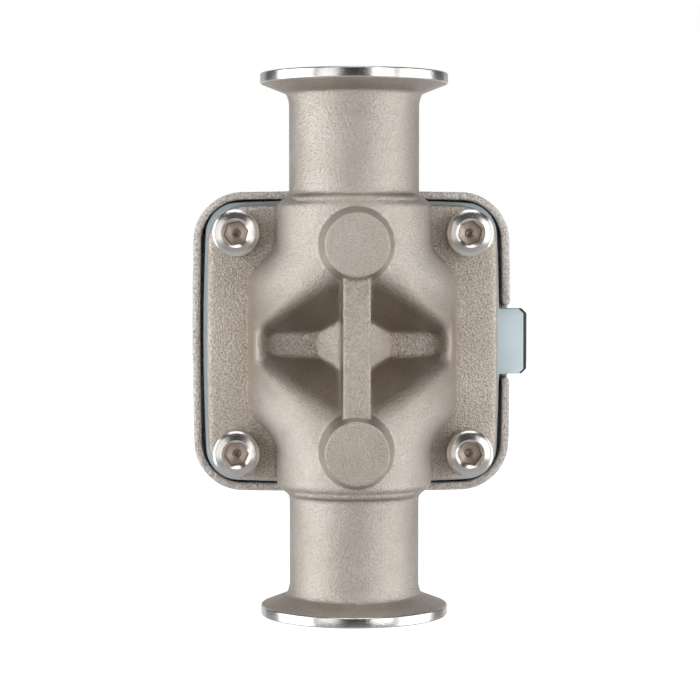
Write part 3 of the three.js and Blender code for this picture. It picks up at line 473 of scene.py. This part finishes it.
class Nodes:
    """A new material's nodes: add() makes one, and set() gives a socket its value or its link."""

    def __init__(self, name):
        self.material = bpy.data.materials.new(name)
        self.material.use_nodes = True
        self.tree = self.material.node_tree
        self.shader = self.tree.nodes["Principled BSDF"]
        self.place = self.add("ShaderNodeTexCoord").outputs["Object"]

    def add(self, kind, settings=None, **inputs):
        node = self.tree.nodes.new(kind)
        for key, value in (settings or {}).items():
            setattr(node, key, value)
        for key, value in inputs.items():
            self.set(node.inputs[key.replace("_", " ")], value)
        return node

    def set(self, socket, value):
        if isinstance(value, bpy.types.NodeSocket):
            self.tree.links.new(value, socket)
        else:
            socket.default_value = value

    def noise(self, scale, detail=4.0, roughness=0.55):
        node = self.add("ShaderNodeTexNoise", Scale=scale, Detail=detail, Roughness=roughness)
        self.set(node.inputs["Vector"], self.place)
        return node.outputs["Fac"]

    def stretched_noise(self, scale, stretch, detail):
        mapped = self.add("ShaderNodeMapping", Scale=stretch)
        self.set(mapped.inputs["Vector"], self.place)
        node = self.add("ShaderNodeTexNoise", Scale=scale, Detail=detail)
        self.set(node.inputs["Vector"], mapped.outputs["Vector"])
        return node.outputs["Fac"]

    def between(self, factor, low, high):
        """A number that goes from low to high as factor goes from 0 to 1."""
        node = self.add("ShaderNodeMapRange")
        self.set(node.inputs["Value"], factor)
        self.set(node.inputs["To Min"], low)
        self.set(node.inputs["To Max"], high)
        return node.outputs["Result"]

    def math(self, operation, a, b):
        node = self.add("ShaderNodeMath", {"operation": operation})
        self.set(node.inputs[0], a)
        self.set(node.inputs[1], b)
        return node.outputs[0]

    def ramp(self, factor, stops):
        node = self.add("ShaderNodeValToRGB")
        self.set(node.inputs["Fac"], factor)
        elements = node.color_ramp.elements
        while len(elements) < len(stops):
            elements.new(0.5)
        for element, (position, colour) in zip(elements, stops):
            element.position = position
            element.color = (*colour, 1)
        return node.outputs["Color"]

    def bump(self, height, strength, distance, normal=None):
        node = self.add("ShaderNodeBump", Strength=strength, Distance=distance)
        self.set(node.inputs["Height"], height)
        if normal is not None:
            self.set(node.inputs["Normal"], normal)
        return node.outputs["Normal"]

    def finish(self, colour, roughness, metallic=0.0, normal=None, **inputs):
        self.set(self.shader.inputs["Base Color"], colour)
        self.set(self.shader.inputs["Roughness"], roughness)
        self.shader.inputs["Metallic"].default_value = metallic
        if normal is not None:
            self.set(self.shader.inputs["Normal"], normal)
        for key, value in inputs.items():
            self.shader.inputs[key.replace("_", " ")].default_value = value
        return self.material


def shade(colour, factor):
    """A colour made darker or lighter."""
    return tuple(channel * factor for channel in colour)


def cast_steel(name, colour, grain):
    """Shot-blasted cast stainless: coarser where "coarse" is 1, and darker and browner where "dark" is 1,
    which paints shade into the body's hollow and creases.
    """
    n = Nodes(name)
    coarse = n.add("ShaderNodeAttribute", {"attribute_name": "coarse"}).outputs["Fac"]
    peened = n.noise(3600, 2, 0.6)
    lumps = n.noise(1700, 3, 0.6)
    cloud = n.noise(60, 3)
    speckle = n.math("ADD", n.math("MULTIPLY", peened, 0.5), n.math("MULTIPLY", lumps, 0.5))
    warm, cool = np.multiply(colour, (0.93, 0.91, 0.89)), np.multiply(colour, (1.04, 1.05, 1.06))
    stain_and_painted_shade = n.ramp(cloud, [(0.32, tuple(warm)), (0.68, tuple(cool))])
    dots = n.ramp(speckle, [(0.40, (1.10, 1.09, 1.08)), (0.5, (1.75, 1.75, 1.75)), (0.60, (2.1, 2.1, 2.1))])
    tint = n.add("ShaderNodeMix", {"data_type": "RGBA", "blend_type": "MULTIPLY"})
    n.set(tint.inputs[0], n.between(coarse, 0.22, 1.0))
    n.set(tint.inputs[6], stain_and_painted_shade)
    n.set(tint.inputs[7], dots)
    # painted shade: the colour is multiplied darker and browner where "dark" is 1
    dark = n.add("ShaderNodeAttribute", {"attribute_name": "dark"}).outputs["Fac"]
    darker = n.add("ShaderNodeMix", {"data_type": "RGBA", "blend_type": "MULTIPLY"})
    n.set(darker.inputs[0], dark)
    n.set(darker.inputs[6], tint.outputs[2])
    n.set(darker.inputs[7], (0.78, 0.75, 0.72, 1))
    roughness = n.math("ADD", n.between(n.noise(300, 4), 0.27, 0.37), n.between(coarse, 0.0, 0.25))
    pits = n.bump(peened, n.between(coarse, 0.6, 0.9), 0.0003 * grain)
    skin = n.bump(lumps, n.between(coarse, 0.4, 1.0), 0.0006 * grain, pits)
    return n.finish(darker.outputs[2], roughness, 1.0, skin)


def machined_steel(name, colour, roughness=0.2, stretch=(1, 1, 1), depth=0.3):
    """Turned or polished stainless, with fine lines along the tool's path."""
    n = Nodes(name)
    lines = n.stretched_noise(500, stretch, 4)
    smear = n.noise(90, 3)
    tint = n.ramp(smear, [(0.35, shade(colour, 0.9)), (0.65, shade(colour, 1.05))])
    gloss = n.between(lines, roughness * 0.75, roughness * 1.3)
    return n.finish(tint, gloss, 1.0, n.bump(lines, depth, 0.0001))


def plastic(name, colour, roughness, grain=0.15, **inputs):
    """Moulded plastic or rubber with a faint cloud in its colour and a fine skin."""
    n = Nodes(name)
    cloud = n.noise(70, 4)
    tint = n.ramp(cloud, [(0.35, shade(colour, 0.92)), (0.65, shade(colour, 1.06))])
    gloss = n.between(n.noise(220, 3), roughness * 0.88, roughness * 1.12)
    return n.finish(tint, gloss, 0.0, n.bump(n.noise(1800, 3), grain, 0.0001), **inputs)


def sintered(name, colour):
    """Metal grains pressed together, dark between them."""
    n = Nodes(name)
    grains = n.add("ShaderNodeTexVoronoi", Scale=1500.0)
    n.set(grains.inputs["Vector"], n.place)
    tint = n.ramp(grains.outputs["Distance"], [(0.1, shade(colour, 1.15)), (0.6, shade(colour, 0.45))])
    return n.finish(tint, 0.5, 0.9, n.bump(grains.outputs["Distance"], 0.8, 0.0003))


def clear_plastic(name):
    """Clear plastic with a slight haze."""
    n = Nodes(name)
    haze = n.between(n.noise(120, 3), 0.03, 0.07)
    tint = n.ramp(n.noise(50, 2), [(0.3, (0.93, 0.95, 0.96)), (0.7, (0.97, 0.98, 0.98))])
    return n.finish(tint, haze, 0.0, None, Transmission_Weight=1.0, IOR=1.5)


CAST = cast_steel("cast_body", (0.470, 0.428, 0.388), 1.0)
ROUGH_CAST = cast_steel("cast_bonnet", (0.53, 0.505, 0.48), 1.6)
RIM_STEEL = machined_steel("turned_rim", (0.74, 0.72, 0.69), 0.2, (1, 1, 9))
SCREW_STEEL = machined_steel("screw_steel", (0.66, 0.63, 0.60), 0.22)
# the socket's walls and floor take this darker, browner steel as painted shade
SOCKET_SHADE_STEEL = machined_steel("socket_painted_shade_steel", (0.62, 0.52, 0.44), 0.45)
BRIGHT_STEEL = machined_steel("bright_steel", (0.66, 0.65, 0.63), 0.22, (1, 8, 1))
TUBE_STEEL = machined_steel("cylinder_steel", (0.63, 0.62, 0.60), 0.3, (1, 14, 1), 0.5)
ALUMINIUM = machined_steel("aluminium", (0.72, 0.72, 0.73), 0.34, (1, 6, 1))
SPRING_STEEL = machined_steel("spring_steel", (0.38, 0.38, 0.39), 0.28)
PTFE = plastic("ptfe", (0.50, 0.57, 0.60), 0.42, 0.1, Subsurface_Weight=0.1)
EPDM = plastic("epdm", (0.030, 0.032, 0.034), 0.6, 0.4)
SEAL_RUBBER = plastic("seal_rubber", (0.02, 0.02, 0.021), 0.55)
GUIDE = plastic("guide_plastic", (0.16, 0.10, 0.05), 0.5)
SIGNAL = plastic("signal_red", (0.60, 0.045, 0.02), 0.35)
BLACK_PLASTIC = plastic("black_plastic", (0.022, 0.022, 0.024), 0.42, 0.3)
BLUE_PLASTIC = plastic("blue_plastic", (0.02, 0.09, 0.33), 0.4)
BRONZE = sintered("sintered_bronze", (0.52, 0.33, 0.17))
CLEAR = clear_plastic("clear_cover")


# ------------------------------------------------------------ pieces

def finish_piece(obj, node, body="valve"):
    """Hands a piece over: attaches it to the body it moves with and hides the CAD node it stands for."""
    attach(obj, body)
    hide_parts(node)


def body_casting():
    """The cast body, open where the tubes carry on."""
    step = 0.6

    def skin_of(x, y, h):
        wide, high = np.abs(x), np.abs(h)
        pad = np.abs(y - PAD_Y) < 0.5
        past_swell = (wide > 9.6) & (wide < HOLLOW_END_X - 0.2)
        ridge_top = (np.abs(ridge(x)[0] - y) < 1.2) & (high < 7) & past_swell
        rib_face = (wide < RIB_HALF + 0.4) & (y < RIB_Y + 1.5) & (high < 18)
        disc_face = y < DISC_Y + 0.4
        coarse = 1.0 * pad + 0.5 * ridge_top + 0.45 * rib_face + 0.25 * disc_face + SMOOTH_COARSE
        # dark: painted shade in the hollow, round its mouth and in the bowl's creases, plus darker rib and
        # disc faces
        dark = painted_recess_shade(x, y, h) + painted_crease_shade(x, y, h) + 0.7 * rib_face + 0.5 * disc_face
        return np.clip(coarse, 0, 1), np.clip(dark, 0, 1)

    low = (-FLANGE_X - 1.5, DISC_Y - 1.5, -CAST_END - 2)
    high = (FLANGE_X + 1.5, SEAL_Y + 1.5, CAST_END + 2)

    def capped(x, y, h):
        return np.maximum(body_field(x, y, h), np.abs(h) - CAST_END)

    obj = cast_object("valve_body_casting", capped, low, high, step, CAST, skin_of)
    open_ends(obj)
    return obj


def open_ends(obj):
    """Takes off the flat caps where the casting carries on as the tubes, so that none shades."""
    mesh = obj.data
    centres = np.zeros(len(mesh.polygons) * 3)
    mesh.polygons.foreach_get("center", centres)
    ends = np.abs(centres.reshape(-1, 3)[:, 2] / MM - MIDDLE) > CAST_END - 0.35
    made = bmesh.new()
    made.from_mesh(mesh)
    made.faces.ensure_lookup_table()
    bmesh.ops.delete(made, geom=[made.faces[i] for i in np.flatnonzero(ends)], context="FACES")
    made.to_mesh(mesh)
    made.free()


def tube_end(upper):
    """One tube with its clamp ferrule, from the casting's end to the sealing face."""
    inner_end = MIDDLE - CAST_END + 1
    cone = math.tan(math.radians(20))
    cone_z = FERRULE_RIM + (FERRULE_R - TUBE_R - 1.8) * cone
    profile = [
        (BORE_R, inner_end), (BORE_R, 0.25), (BORE_R + 0.25, 0), (20.15, 0), (20.95, 1.3),
        (22.55, 1.3), (23.35, 0), (FERRULE_R - 0.25, 0), (FERRULE_R, 0.25),
        (FERRULE_R, FERRULE_RIM - 0.25), (FERRULE_R - 0.3, FERRULE_RIM),
        (TUBE_R + 3.2, cone_z - 1.4 * cone), (TUBE_R + 0.7, cone_z + 0.5), (TUBE_R, cone_z + 3.0),
        (TUBE_R, inner_end),
    ]
    face_points = 11    # how many points of the profile belong to the machined face and rim
    corners = rounded(profile[:face_points], 0.15, 3) + rounded(profile[face_points:], 2.2, 7)
    turn = (lambda z: FACE_TO_FACE - z) if upper else (lambda z: z)
    loops = [circle(r, 160, about_pipe(turn(z))) for r, z in corners]
    vertices, faces = loft(loops, cap=False)
    name = "upper_clamp_end" if upper else "lower_clamp_end"
    obj = mesh_object(name, vertices, faces, [CAST, RIM_STEEL], 35)
    paint(obj, "coarse", np.full(len(vertices), SMOOTH_COARSE))
    for polygon in obj.data.polygons:
        near_face = abs(polygon.center.z / MM - (FACE_TO_FACE if upper else 0)) < FERRULE_RIM
        outside = math.hypot(polygon.center.x, polygon.center.y) / MM > BORE_R + 0.1
        polygon.material_index = int(near_face and outside)
    return obj


def cushion_outline(half_x, half_h, corner, tab_x):
    """Points round the bulging rectangle, with the tab on its right side out to tab_x."""
    def side(t):
        return SIDE_BULGE * (1 - t * t)

    def arc(start, middle_x, middle_h):
        turns = np.radians(np.linspace(start, start + 90, 12))
        return [(middle_x + corner * math.cos(t), middle_h + corner * math.sin(t)) for t in turns]

    reach_x, reach_h = half_x - SIDE_BULGE - corner, half_h - SIDE_BULGE - corner
    points = [(half_x, -TAB_HALF), (tab_x - TAB_CHAMFER, -TAB_HALF), (tab_x, TAB_CHAMFER - TAB_HALF)]
    points += [(tab_x, t) for t in np.linspace(-7, 7, 8)]
    points += [(tab_x, TAB_HALF - TAB_CHAMFER), (tab_x - TAB_CHAMFER, TAB_HALF), (half_x, TAB_HALF)]
    right = np.linspace(TAB_HALF + 0.5, reach_h, 10)
    points += [(half_x - SIDE_BULGE + side(h / reach_h), h) for h in right[:-1]]
    points += arc(0, reach_x, reach_h)
    top = np.linspace(reach_x, -reach_x, 28)[1:-1]
    points += [(x, half_h - SIDE_BULGE + side(x / reach_x)) for x in top]
    points += arc(90, -reach_x, reach_h)
    left = np.linspace(reach_h, -reach_h, 28)[1:-1]
    points += [(-half_x + SIDE_BULGE - side(h / reach_h), h) for h in left]
    points += arc(180, -reach_x, -reach_h)
    points += [(-x, -half_h + SIDE_BULGE - side(x / reach_x)) for x in top]
    points += arc(270, reach_x, -reach_h)
    lower = -right[::-1]
    points += [(half_x - SIDE_BULGE + side(h / reach_h), h) for h in lower[1:]]
    return np.array(points)


def inset(outline, by):
    """The outline moved inward by a small distance, along its corners' normals."""
    before, after = np.roll(outline, 1, axis=0), np.roll(outline, -1, axis=0)
    along = (after - before) / np.linalg.norm(after - before, axis=1, keepdims=True)
    return outline - by * np.stack([along[:, 1], -along[:, 0]], axis=1)


def diaphragm_rim(name, overhang, tab_x, low, high, edge, material):
    """The flat clamped part of a diaphragm layer, with rounded edges and a round opening."""
    outline = cushion_outline(FLANGE_X + overhang, FLANGE_H + overhang, FLANGE_CORNER - 1, tab_x)
    angle = np.arctan2(outline[:, 1], outline[:, 0])
    opening = WEB_R * np.stack([np.cos(angle), np.sin(angle)], axis=1)
    soft = 0.4 * edge
    rows = [(opening, low), (inset(outline, edge), low), (inset(outline, soft), low + soft * 0.5),
            (outline, low + edge), (outline, high - edge), (inset(outline, soft), high - soft * 0.5),
            (inset(outline, edge), high), (opening, high)]
    loops = [np.stack([o[:, 0], np.full(len(o), y), MIDDLE + o[:, 1]], axis=1) for o, y in rows]
    return mesh_object(name, *loft(loops, close=True), material, 50)


def web_y(r):
    """How far down the dished web lies at a radius."""
    return SEAL_Y - (SEAL_Y - CREST_Y) * (1 - (r / WEB_R) ** 2)


def diaphragm_web(name, below, above, rim_low, rim_high, hole_r, material):
    """The dished middle of a layer, pressed down on the weir, with a roll at its edge."""
    radii = np.linspace(hole_r, WEB_R, 26)
    roll = smoothstep(20, WEB_R, radii)
    lower = (web_y(radii) + below) * (1 - roll) + rim_low * roll
    upper = (web_y(radii) + above) * (1 - roll) + rim_high * roll
    points = list(zip(radii, lower)) + list(zip(radii[::-1], upper[::-1]))
    loops = [circle(max(r, 1e-3), 96, about_stem(y)) for r, y in points]
    return mesh_object(name, *loft(loops, close=True), material, 50)


def diaphragms():
    """Both layers, each a clamped rim and a dished web."""
    epdm_low, epdm_below = PTFE_Y + LAYER_GAP, PTFE_WEB + LAYER_GAP
    layers = [
        ("ptfe", PTFE, (PTFE_OVERHANG, PTFE_TAB_X, SEAL_Y, PTFE_Y, 0.3),
         (0, PTFE_WEB, SEAL_Y, PTFE_Y, 0)),
        ("epdm", EPDM, (EPDM_OVERHANG, EPDM_TAB_X, epdm_low, DIAPHRAGM_Y, 0.6),
         (epdm_below, PTFE_WEB + EPDM_WEB, epdm_low, DIAPHRAGM_Y, STUD_HOLE_R)),
    ]
    for label, material, rim, web in layers:
        edge = diaphragm_rim(f"diaphragm_{label}_rim", *rim, material)
        middle = diaphragm_web(f"diaphragm_{label}_web", *web, material)
        for piece in (edge, middle):
            finish_piece(piece, f"diaphragm_{label}")
        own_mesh(middle)


def hexagon(across, count, turn):
    """A loop of points on a hexagon, so that it lofts to a circle of the same count."""
    angle = np.linspace(0, 2 * np.pi, count, endpoint=False)
    within = (angle - turn) % (np.pi / 3) - np.pi / 6
    r = across / 2 / np.cos(within)
    return r * np.cos(angle), r * np.sin(angle)


def body_screw(number, place, turn_deg):
    """A socket head cap screw: chamfered head, hexagon socket with a dimple, and plain shank."""
    count, turn = 96, math.radians(turn_deg)
    top, tip = PAD_Y - HEAD_H, PAD_Y + SCREW_REACH

    def ring(r, y):
        return circle(r, count, about_stem(y, *place))

    def hex_ring(across, y):
        return about_stem(y, *place)(*hexagon(across, count, turn))

    bevel = 0.07 * HEAD_R
    hex_edge = hex_ring(HEX_ACROSS, top)
    hex_edge[:, 1] += 0.65 * HEX_ACROSS - np.hypot(*hexagon(HEX_ACROSS, count, turn))
    loops = [
        ring(1e-3, top + (HEX_DEPTH + 0.13 * HEX_ACROSS)),
        ring(HEX_ACROSS * 0.12, top + (HEX_DEPTH + 0.12 * HEX_ACROSS)),
        ring(HEX_ACROSS * 0.20, top + (HEX_DEPTH + 0.05 * HEX_ACROSS)),
        ring(HEX_ACROSS * 0.23, top + (HEX_DEPTH + 0.03 * HEX_ACROSS)),
        hex_ring(HEX_ACROSS - 0.4, top + HEX_DEPTH),
        hex_ring(HEX_ACROSS, top + (HEX_DEPTH - 0.3)),
        hex_edge,
        ring(HEX_ACROSS * 0.64, top + 0.08),
        ring(HEX_ACROSS * 0.67, top),
        ring(0.80 * HEAD_R, top + 0.30),
        ring(HEAD_R - 1.3 * bevel, top + 0.52),
        ring(HEAD_R - 1.0 * bevel, top + 0.62),
        ring(HEAD_R - 0.3 * bevel, top + 0.80),
        ring(HEAD_R, top + 1.3),
        ring(HEAD_R, PAD_Y - 0.3),
        ring(HEAD_R - 0.3, PAD_Y),
        ring(SHANK_R, PAD_Y),
        ring(SHANK_R, tip - 1),
        ring(SHANK_R - 0.8, tip),
    ]
    node = f"body_screw_{number}"
    obj = mesh_object(f"{node}_turned", *loft(loops), [SCREW_STEEL, SOCKET_SHADE_STEEL], 28)
    # painted shade: the socket's walls and floor get the darker steel
    for polygon in obj.data.polygons[DIMPLE_ROWS * count:SOCKET_ROWS * count]:
        polygon.material_index = 1
    finish_piece(obj, node)


def bonnet_casting():
    """The rough bonnet, whose neck is smoother than its rim."""
    step = 0.7

    def skin_of(x, y, h):
        return np.where(y < BONNET_BACK_Y + 2, 1.0, 0.5), np.zeros(len(y))

    low = (-BONNET_X - 1.5, RIM_Y - 1.5, -BONNET_H - 1.5)
    high = (BONNET_X + 1.5, BONNET_TOP + 1.5, BONNET_H + 1.5)
    return cast_object("bonnet_casting", bonnet_field, low, high, step, ROUGH_CAST, skin_of)


def cylinder():
    """The cylinder cup and the boss for its air port."""
    top_y = span("cylinder", 1)[1]
    bore = CYLINDER_R - CYLINDER_WALL
    wall = [(8, BONNET_TOP), (CYLINDER_R - 3.4, BONNET_TOP), (CYLINDER_R - 0.9, BONNET_TOP + 0.9),
            (CYLINDER_R, BONNET_TOP + 3.4), (CYLINDER_R, top_y), (bore, top_y), (bore, top_y - 2.7),
            (bore + 1.1, top_y - 2.7), (bore + 1.1, top_y - 4.9), (bore, top_y - 4.9),
            (bore, BONNET_TOP + 3), (8, BONNET_TOP + 3)]
    finish_piece(turned("cylinder_tube", wall, about_stem, TUBE_STEEL, 192, 0.5, True),
                 "cylinder")
    boss = [(5, PORT_BOSS_LOW), (8, PORT_BOSS_LOW), (8, PORT_BOSS_HIGH), (5, PORT_BOSS_HIGH)]
    finish_piece(turned("air_port_boss", boss, about_port, TUBE_STEEL, 96, 0.5, True),
                 "cylinder")


def top_cover():
    """The cover, with a shallow recess turned in its face and a collar for the dome."""
    cover_y = span("top_cover", 1)[1] - 6
    cover = [(2.6, cover_y - 14), (11, cover_y - 14), (13, cover_y - 8), (38.3, cover_y - 8),
             (38.3, cover_y - 0.8), (37.5, cover_y), (30, cover_y), (28.5, cover_y - 1.0),
             (14.5, cover_y - 1.0), (13.6, cover_y), (10, cover_y), (10, cover_y + 6),
             (2.6, cover_y + 6)]
    finish_piece(turned("turned_cover", cover, about_stem, ALUMINIUM, 160, 0.4, True),
                 "top_cover")


def position_indicator():
    """The red tip and the clear dome into which it rises."""
    tip_low, tip_high = span("indicator_tip", 1)
    tip = [(0, tip_low), (4.6, tip_low), (4.6, tip_high - 0.9), (3.7, tip_high), (0, tip_high)]
    finish_piece(turned("moulded_tip", tip, about_stem, SIGNAL, 64, 0.3), "indicator_tip",
                 "stem")
    low, high = span("indicator_dome", 1)
    dome_profile = [(10.3, low), (13, low), (13, high - 5), (12.2, high - 1.6), (9, high), (0, high),
                    (0, high - 2), (8, high - 2), (10.3, high - 4.5), (10.3, low)]
    finish_piece(turned("clear_dome", dome_profile, about_stem, CLEAR, 96, 0.9), "indicator_dome")


def hex_nut(name, across, low, high, place, material):
    """A hexagon with its corners turned off at both ends."""
    chamfer, count = 0.8, 96
    loops = []
    for d, grow in ((low, -chamfer), (low + 0.5 * chamfer, 0), (high - 0.5 * chamfer, 0), (high, -chamfer)):
        a, b = hexagon(across, count, 0)
        r = np.hypot(a, b)
        limit = across / math.sqrt(3) + grow
        scale = np.minimum(1, limit / r)
        loops.append(place(d)(a * scale, b * scale))
    return mesh_object(name, *loft(loops), material, 25)


def vent():
    """The exhaust vent: a hexagon with a cone of sintered bronze."""
    high = span("exhaust_vent", 1)[1]
    at = lambda y: about_stem(y, VENT_X, 0.0)
    seat = high - 13
    finish_piece(hex_nut("vent_hex", 13, seat + 0.1, seat + 4, at, BRIGHT_STEEL), "exhaust_vent")
    cone = [(0, seat + 3), (5, seat + 3), (5, seat + 5), (4.6, seat + 6), (3.3, seat + 11.6), (0, high)]
    finish_piece(turned("vent_cone", cone, at, BRONZE, 64, 0.7), "exhaust_vent")


def fitting_base():
    """The fitting's hexagon, and the hollow spigot on which the elbow turns."""
    base_high = span("air_fitting_base", 2)[1]
    hex_low = PORT_BOSS_HIGH + 0.1
    finish_piece(hex_nut("fitting_hex", 12, hex_low, hex_low + 6, about_port, BRIGHT_STEEL),
                 "air_fitting_base")
    spigot = [(1.8, hex_low), (3, hex_low), (3, base_high), (1.8, base_high)]
    finish_piece(turned("fitting_spigot", spigot, about_port, BRIGHT_STEEL, 48, 0.2, True),
                 "air_fitting_base")


def elbow_and_collar():
    """The swivel elbow, open at the end of its arm, and the collar that lets go of the air tube."""
    low, high = span("air_fitting_elbow", 2)
    reach = span("air_fitting_elbow", 1)[1]
    upright = [(3.05, low), (5.2, low), (6, low + 0.8), (6, high - 1.2), (5.2, high), (0, high)]
    finish_piece(turned("elbow_upright", upright, about_port, BLACK_PLASTIC, 80, 0.5),
                 "air_fitting_elbow", "air_elbow")
    arm_h = (low + high) / 2 + 1.5 - MIDDLE
    at = lambda y: about_stem(y, 0.0, arm_h)
    arm = [(5.8, PORT_Y + 1), (5.8, reach - 0.6), (5.3, reach), (4.3, reach), (4.3, reach - 4),
           (3.05, reach - 4), (3.05, reach - 12), (0, reach - 12)]
    finish_piece(turned("elbow_arm", arm, at, BLACK_PLASTIC, 80, 0.4), "air_fitting_elbow",
                 "air_elbow")
    collar_low, collar_high = span("air_fitting_collar", 1)
    ring = [(3.1, collar_low), (4.2, collar_low), (4.2, collar_high - 1.6), (5.2, collar_high - 1.6),
            (5.2, collar_high), (3.1, collar_high)]
    finish_piece(turned("fitting_collar", ring, at, BLUE_PLASTIC, 80, 0.25, True),
                 "air_fitting_collar", "release_collar")


def coil(name, node, mean_r, wire_r, turns, low, high):
    """A compression spring with a flat closed turn at each end."""
    steps = int(turns * 40)
    t = np.linspace(0, 1, steps)
    closed = 0.75 / turns
    rise = np.clip((t - closed) / (1 - 2 * closed), 0, 1)
    y = low + wire_r + rise * (high - low - 2 * wire_r)
    angle = 2 * np.pi * turns * t
    loops = []
    ring = np.linspace(0, 2 * np.pi, 14, endpoint=False)
    for a, centre_y in zip(angle, y):
        r = mean_r + wire_r * np.cos(ring)
        along = centre_y + wire_r * np.sin(ring)
        loops.append(np.stack([r * np.cos(a), along, MIDDLE + r * np.sin(a)], axis=1))
    obj = mesh_object(name, *loft(loops), SPRING_STEEL, 60)
    finish_piece(obj, node)
    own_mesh(obj)


def springs():
    """The two closing springs, one inside the other."""
    floor_y, roof_y = span("spring_outer", 1)
    coil("outer_coil", "spring_outer", 28, 2.1, 5, floor_y, roof_y)
    coil("inner_coil", "spring_inner", 19, 1.5, 6.5, floor_y, roof_y)


def carried_over_materials():
    """Every CAD node that stays gets its finished material."""
    finishes = {
        BRIGHT_STEEL: ["stem", "compressor_pin", "diaphragm_stud", "piston_washer", "piston_nut",
                       "indicator_rod"],
        ALUMINIUM: ["compressor", "piston"],
        SCREW_STEEL: [f"cylinder_screw_{i}" for i in range(1, 5)],
        SPRING_STEEL: ["cover_retaining_ring"],
        BRONZE: ["stem_bush"],
        GUIDE: ["piston_guide_ring"],
        SEAL_RUBBER: ["stem_o_ring_1", "stem_o_ring_2", "stem_wiper", "cylinder_o_ring", "piston_seal",
                      "cover_o_ring", "indicator_o_ring", "dome_o_ring"],
    }
    for material, nodes in finishes.items():
        for node in nodes:
            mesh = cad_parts[node].data
            mesh.materials.clear()
            mesh.materials.append(material)


# ------------------------------------------------------------ studio

FLOOR_HALF, FLOOR_Z = 4000, -1.2
CAMERA_AT, CAMERA_TARGET, LENS = (-0.0186, -0.594, 0.0988), (-0.0011, 0, 0.0716), 113.1


def area_light(name, place, target, size, power):
    """A rectangular lamp that the camera doesn't see; size is its width and height in metres."""
    data = bpy.data.lights.new(name, "AREA")
    data.shape = "RECTANGLE"
    data.size, data.size_y = size
    data.energy = power
    obj = bpy.data.objects.new(name, data)
    obj.location = place
    aim(obj, target)
    obj.visible_camera = False
    bpy.context.scene.collection.objects.link(obj)


def aim(obj, target):
    """Turns a lamp or camera towards a point."""
    direction = Vector(target) - Vector(obj.location)
    obj.rotation_euler = direction.to_track_quat("-Z", "Y").to_euler()


def studio():
    """Two large soft boxes at the sides, weak fills in front, and light from above and behind."""
    middle = (0, 0, MIDDLE * MM)
    area_light("left_softbox", (-0.97, -0.17, 0.12), middle, (1.0, 1.2), 8.5)
    area_light("right_softbox", (0.97, -0.17, 0.10), middle, (1.0, 1.2), 6.2)
    area_light("front_left_fill", (-0.72, -1.1, 0.20), middle, (0.6, 0.9), 2.2)
    area_light("front_right_fill", (0.72, -1.1, 0.20), middle, (0.6, 0.9), 3.8)
    area_light("top_fill", (0.0, -0.5, 1.2), middle, (1.0, 0.7), 4.8)
    area_light("back_fill", (0.0, 1.3, 0.25), middle, (2.2, 1.4), 4.0)
    white_world(around=0.10, below=0.6, in_front=0.34)
    pale_floor()


def white_world(around, below, in_front):
    """A white background, greyer where it lights the metal: brightest below, as over a white table,
    and dimmed by in_front in the direction where the photographer would stand."""
    world = bpy.data.worlds.new("studio_white")
    bpy.context.scene.world = world
    world.use_nodes = True
    tree = world.node_tree

    def between(source, from_low, from_high, low, high):
        node = tree.nodes.new("ShaderNodeMapRange")
        limits = {"From Min": from_low, "From Max": from_high, "To Min": low, "To Max": high}
        for name, value in limits.items():
            if isinstance(value, bpy.types.NodeSocket):
                tree.links.new(value, node.inputs[name])
            else:
                node.inputs[name].default_value = value
        tree.links.new(source, node.inputs["Value"])
        return node.outputs["Result"]

    direction = tree.nodes.new("ShaderNodeSeparateXYZ")
    tree.links.new(tree.nodes.new("ShaderNodeTexCoord").outputs["Generated"], direction.inputs[0])
    height = between(direction.outputs["Z"], -0.5, 0.1, below, around)
    dimmed = tree.nodes.new("ShaderNodeMath")
    dimmed.operation = "MULTIPLY"
    tree.links.new(height, dimmed.inputs[0])
    tree.links.new(between(direction.outputs["Y"], -0.98, -0.8, in_front, 1.0), dimmed.inputs[1])
    rays = tree.nodes.new("ShaderNodeLightPath")
    seen = tree.nodes.new("ShaderNodeMath")
    tree.links.new(rays.outputs["Is Camera Ray"], seen.inputs[0])
    tree.links.new(rays.outputs["Is Transmission Ray"], seen.inputs[1])
    level = between(seen.outputs[0], 0.0, 1.0, dimmed.outputs[0], 1.0)
    background = tree.nodes["Background"]
    background.inputs["Color"].default_value = (1, 1, 1, 1)
    tree.links.new(level, background.inputs["Strength"])


def pale_floor():
    """A floor that looks as white as the background and stays out of the metal's reflections."""
    n = Nodes("pale_floor")
    tint = n.ramp(n.noise(3, 2), [(0.3, (0.90, 0.90, 0.90)), (0.7, (0.92, 0.92, 0.92))])
    material = n.finish(tint, 0.7, Emission_Color=(1, 1, 1, 1), Emission_Strength=0.93)
    corners = [(FLOOR_HALF * x, FLOOR_HALF * y, FLOOR_Z) for x, y in ((-1, -1), (1, -1), (1, 1), (-1, 1))]
    floor = mesh_object("studio_floor", corners, [(0, 1, 2, 3)], material)
    floor.visible_glossy = False


def camera():
    """The camera that gives the front view."""
    data = bpy.data.cameras.new("camera")
    data.lens, data.sensor_width = LENS, 36
    data.clip_start, data.clip_end = 0.01, 20
    obj = bpy.data.objects.new("camera", data)
    obj.location = CAMERA_AT
    aim(obj, CAMERA_TARGET)
    bpy.context.scene.collection.objects.link(obj)
    bpy.context.scene.camera = obj


bpy.context.scene.view_settings.view_transform = "Standard"
camera()
studio()
finish_piece(body_casting(), "valve_body")
for end in (False, True):
    finish_piece(tube_end(end), "valve_body")
finish_piece(bonnet_casting(), "bonnet")
diaphragms()
for number, (place, turn) in enumerate(zip(SCREWS, SCREW_TURNS), 1):
    body_screw(number, place, turn)
cylinder()
top_cover()
position_indicator()
vent()
fitting_base()
elbow_and_collar()
springs()
carried_over_materials()
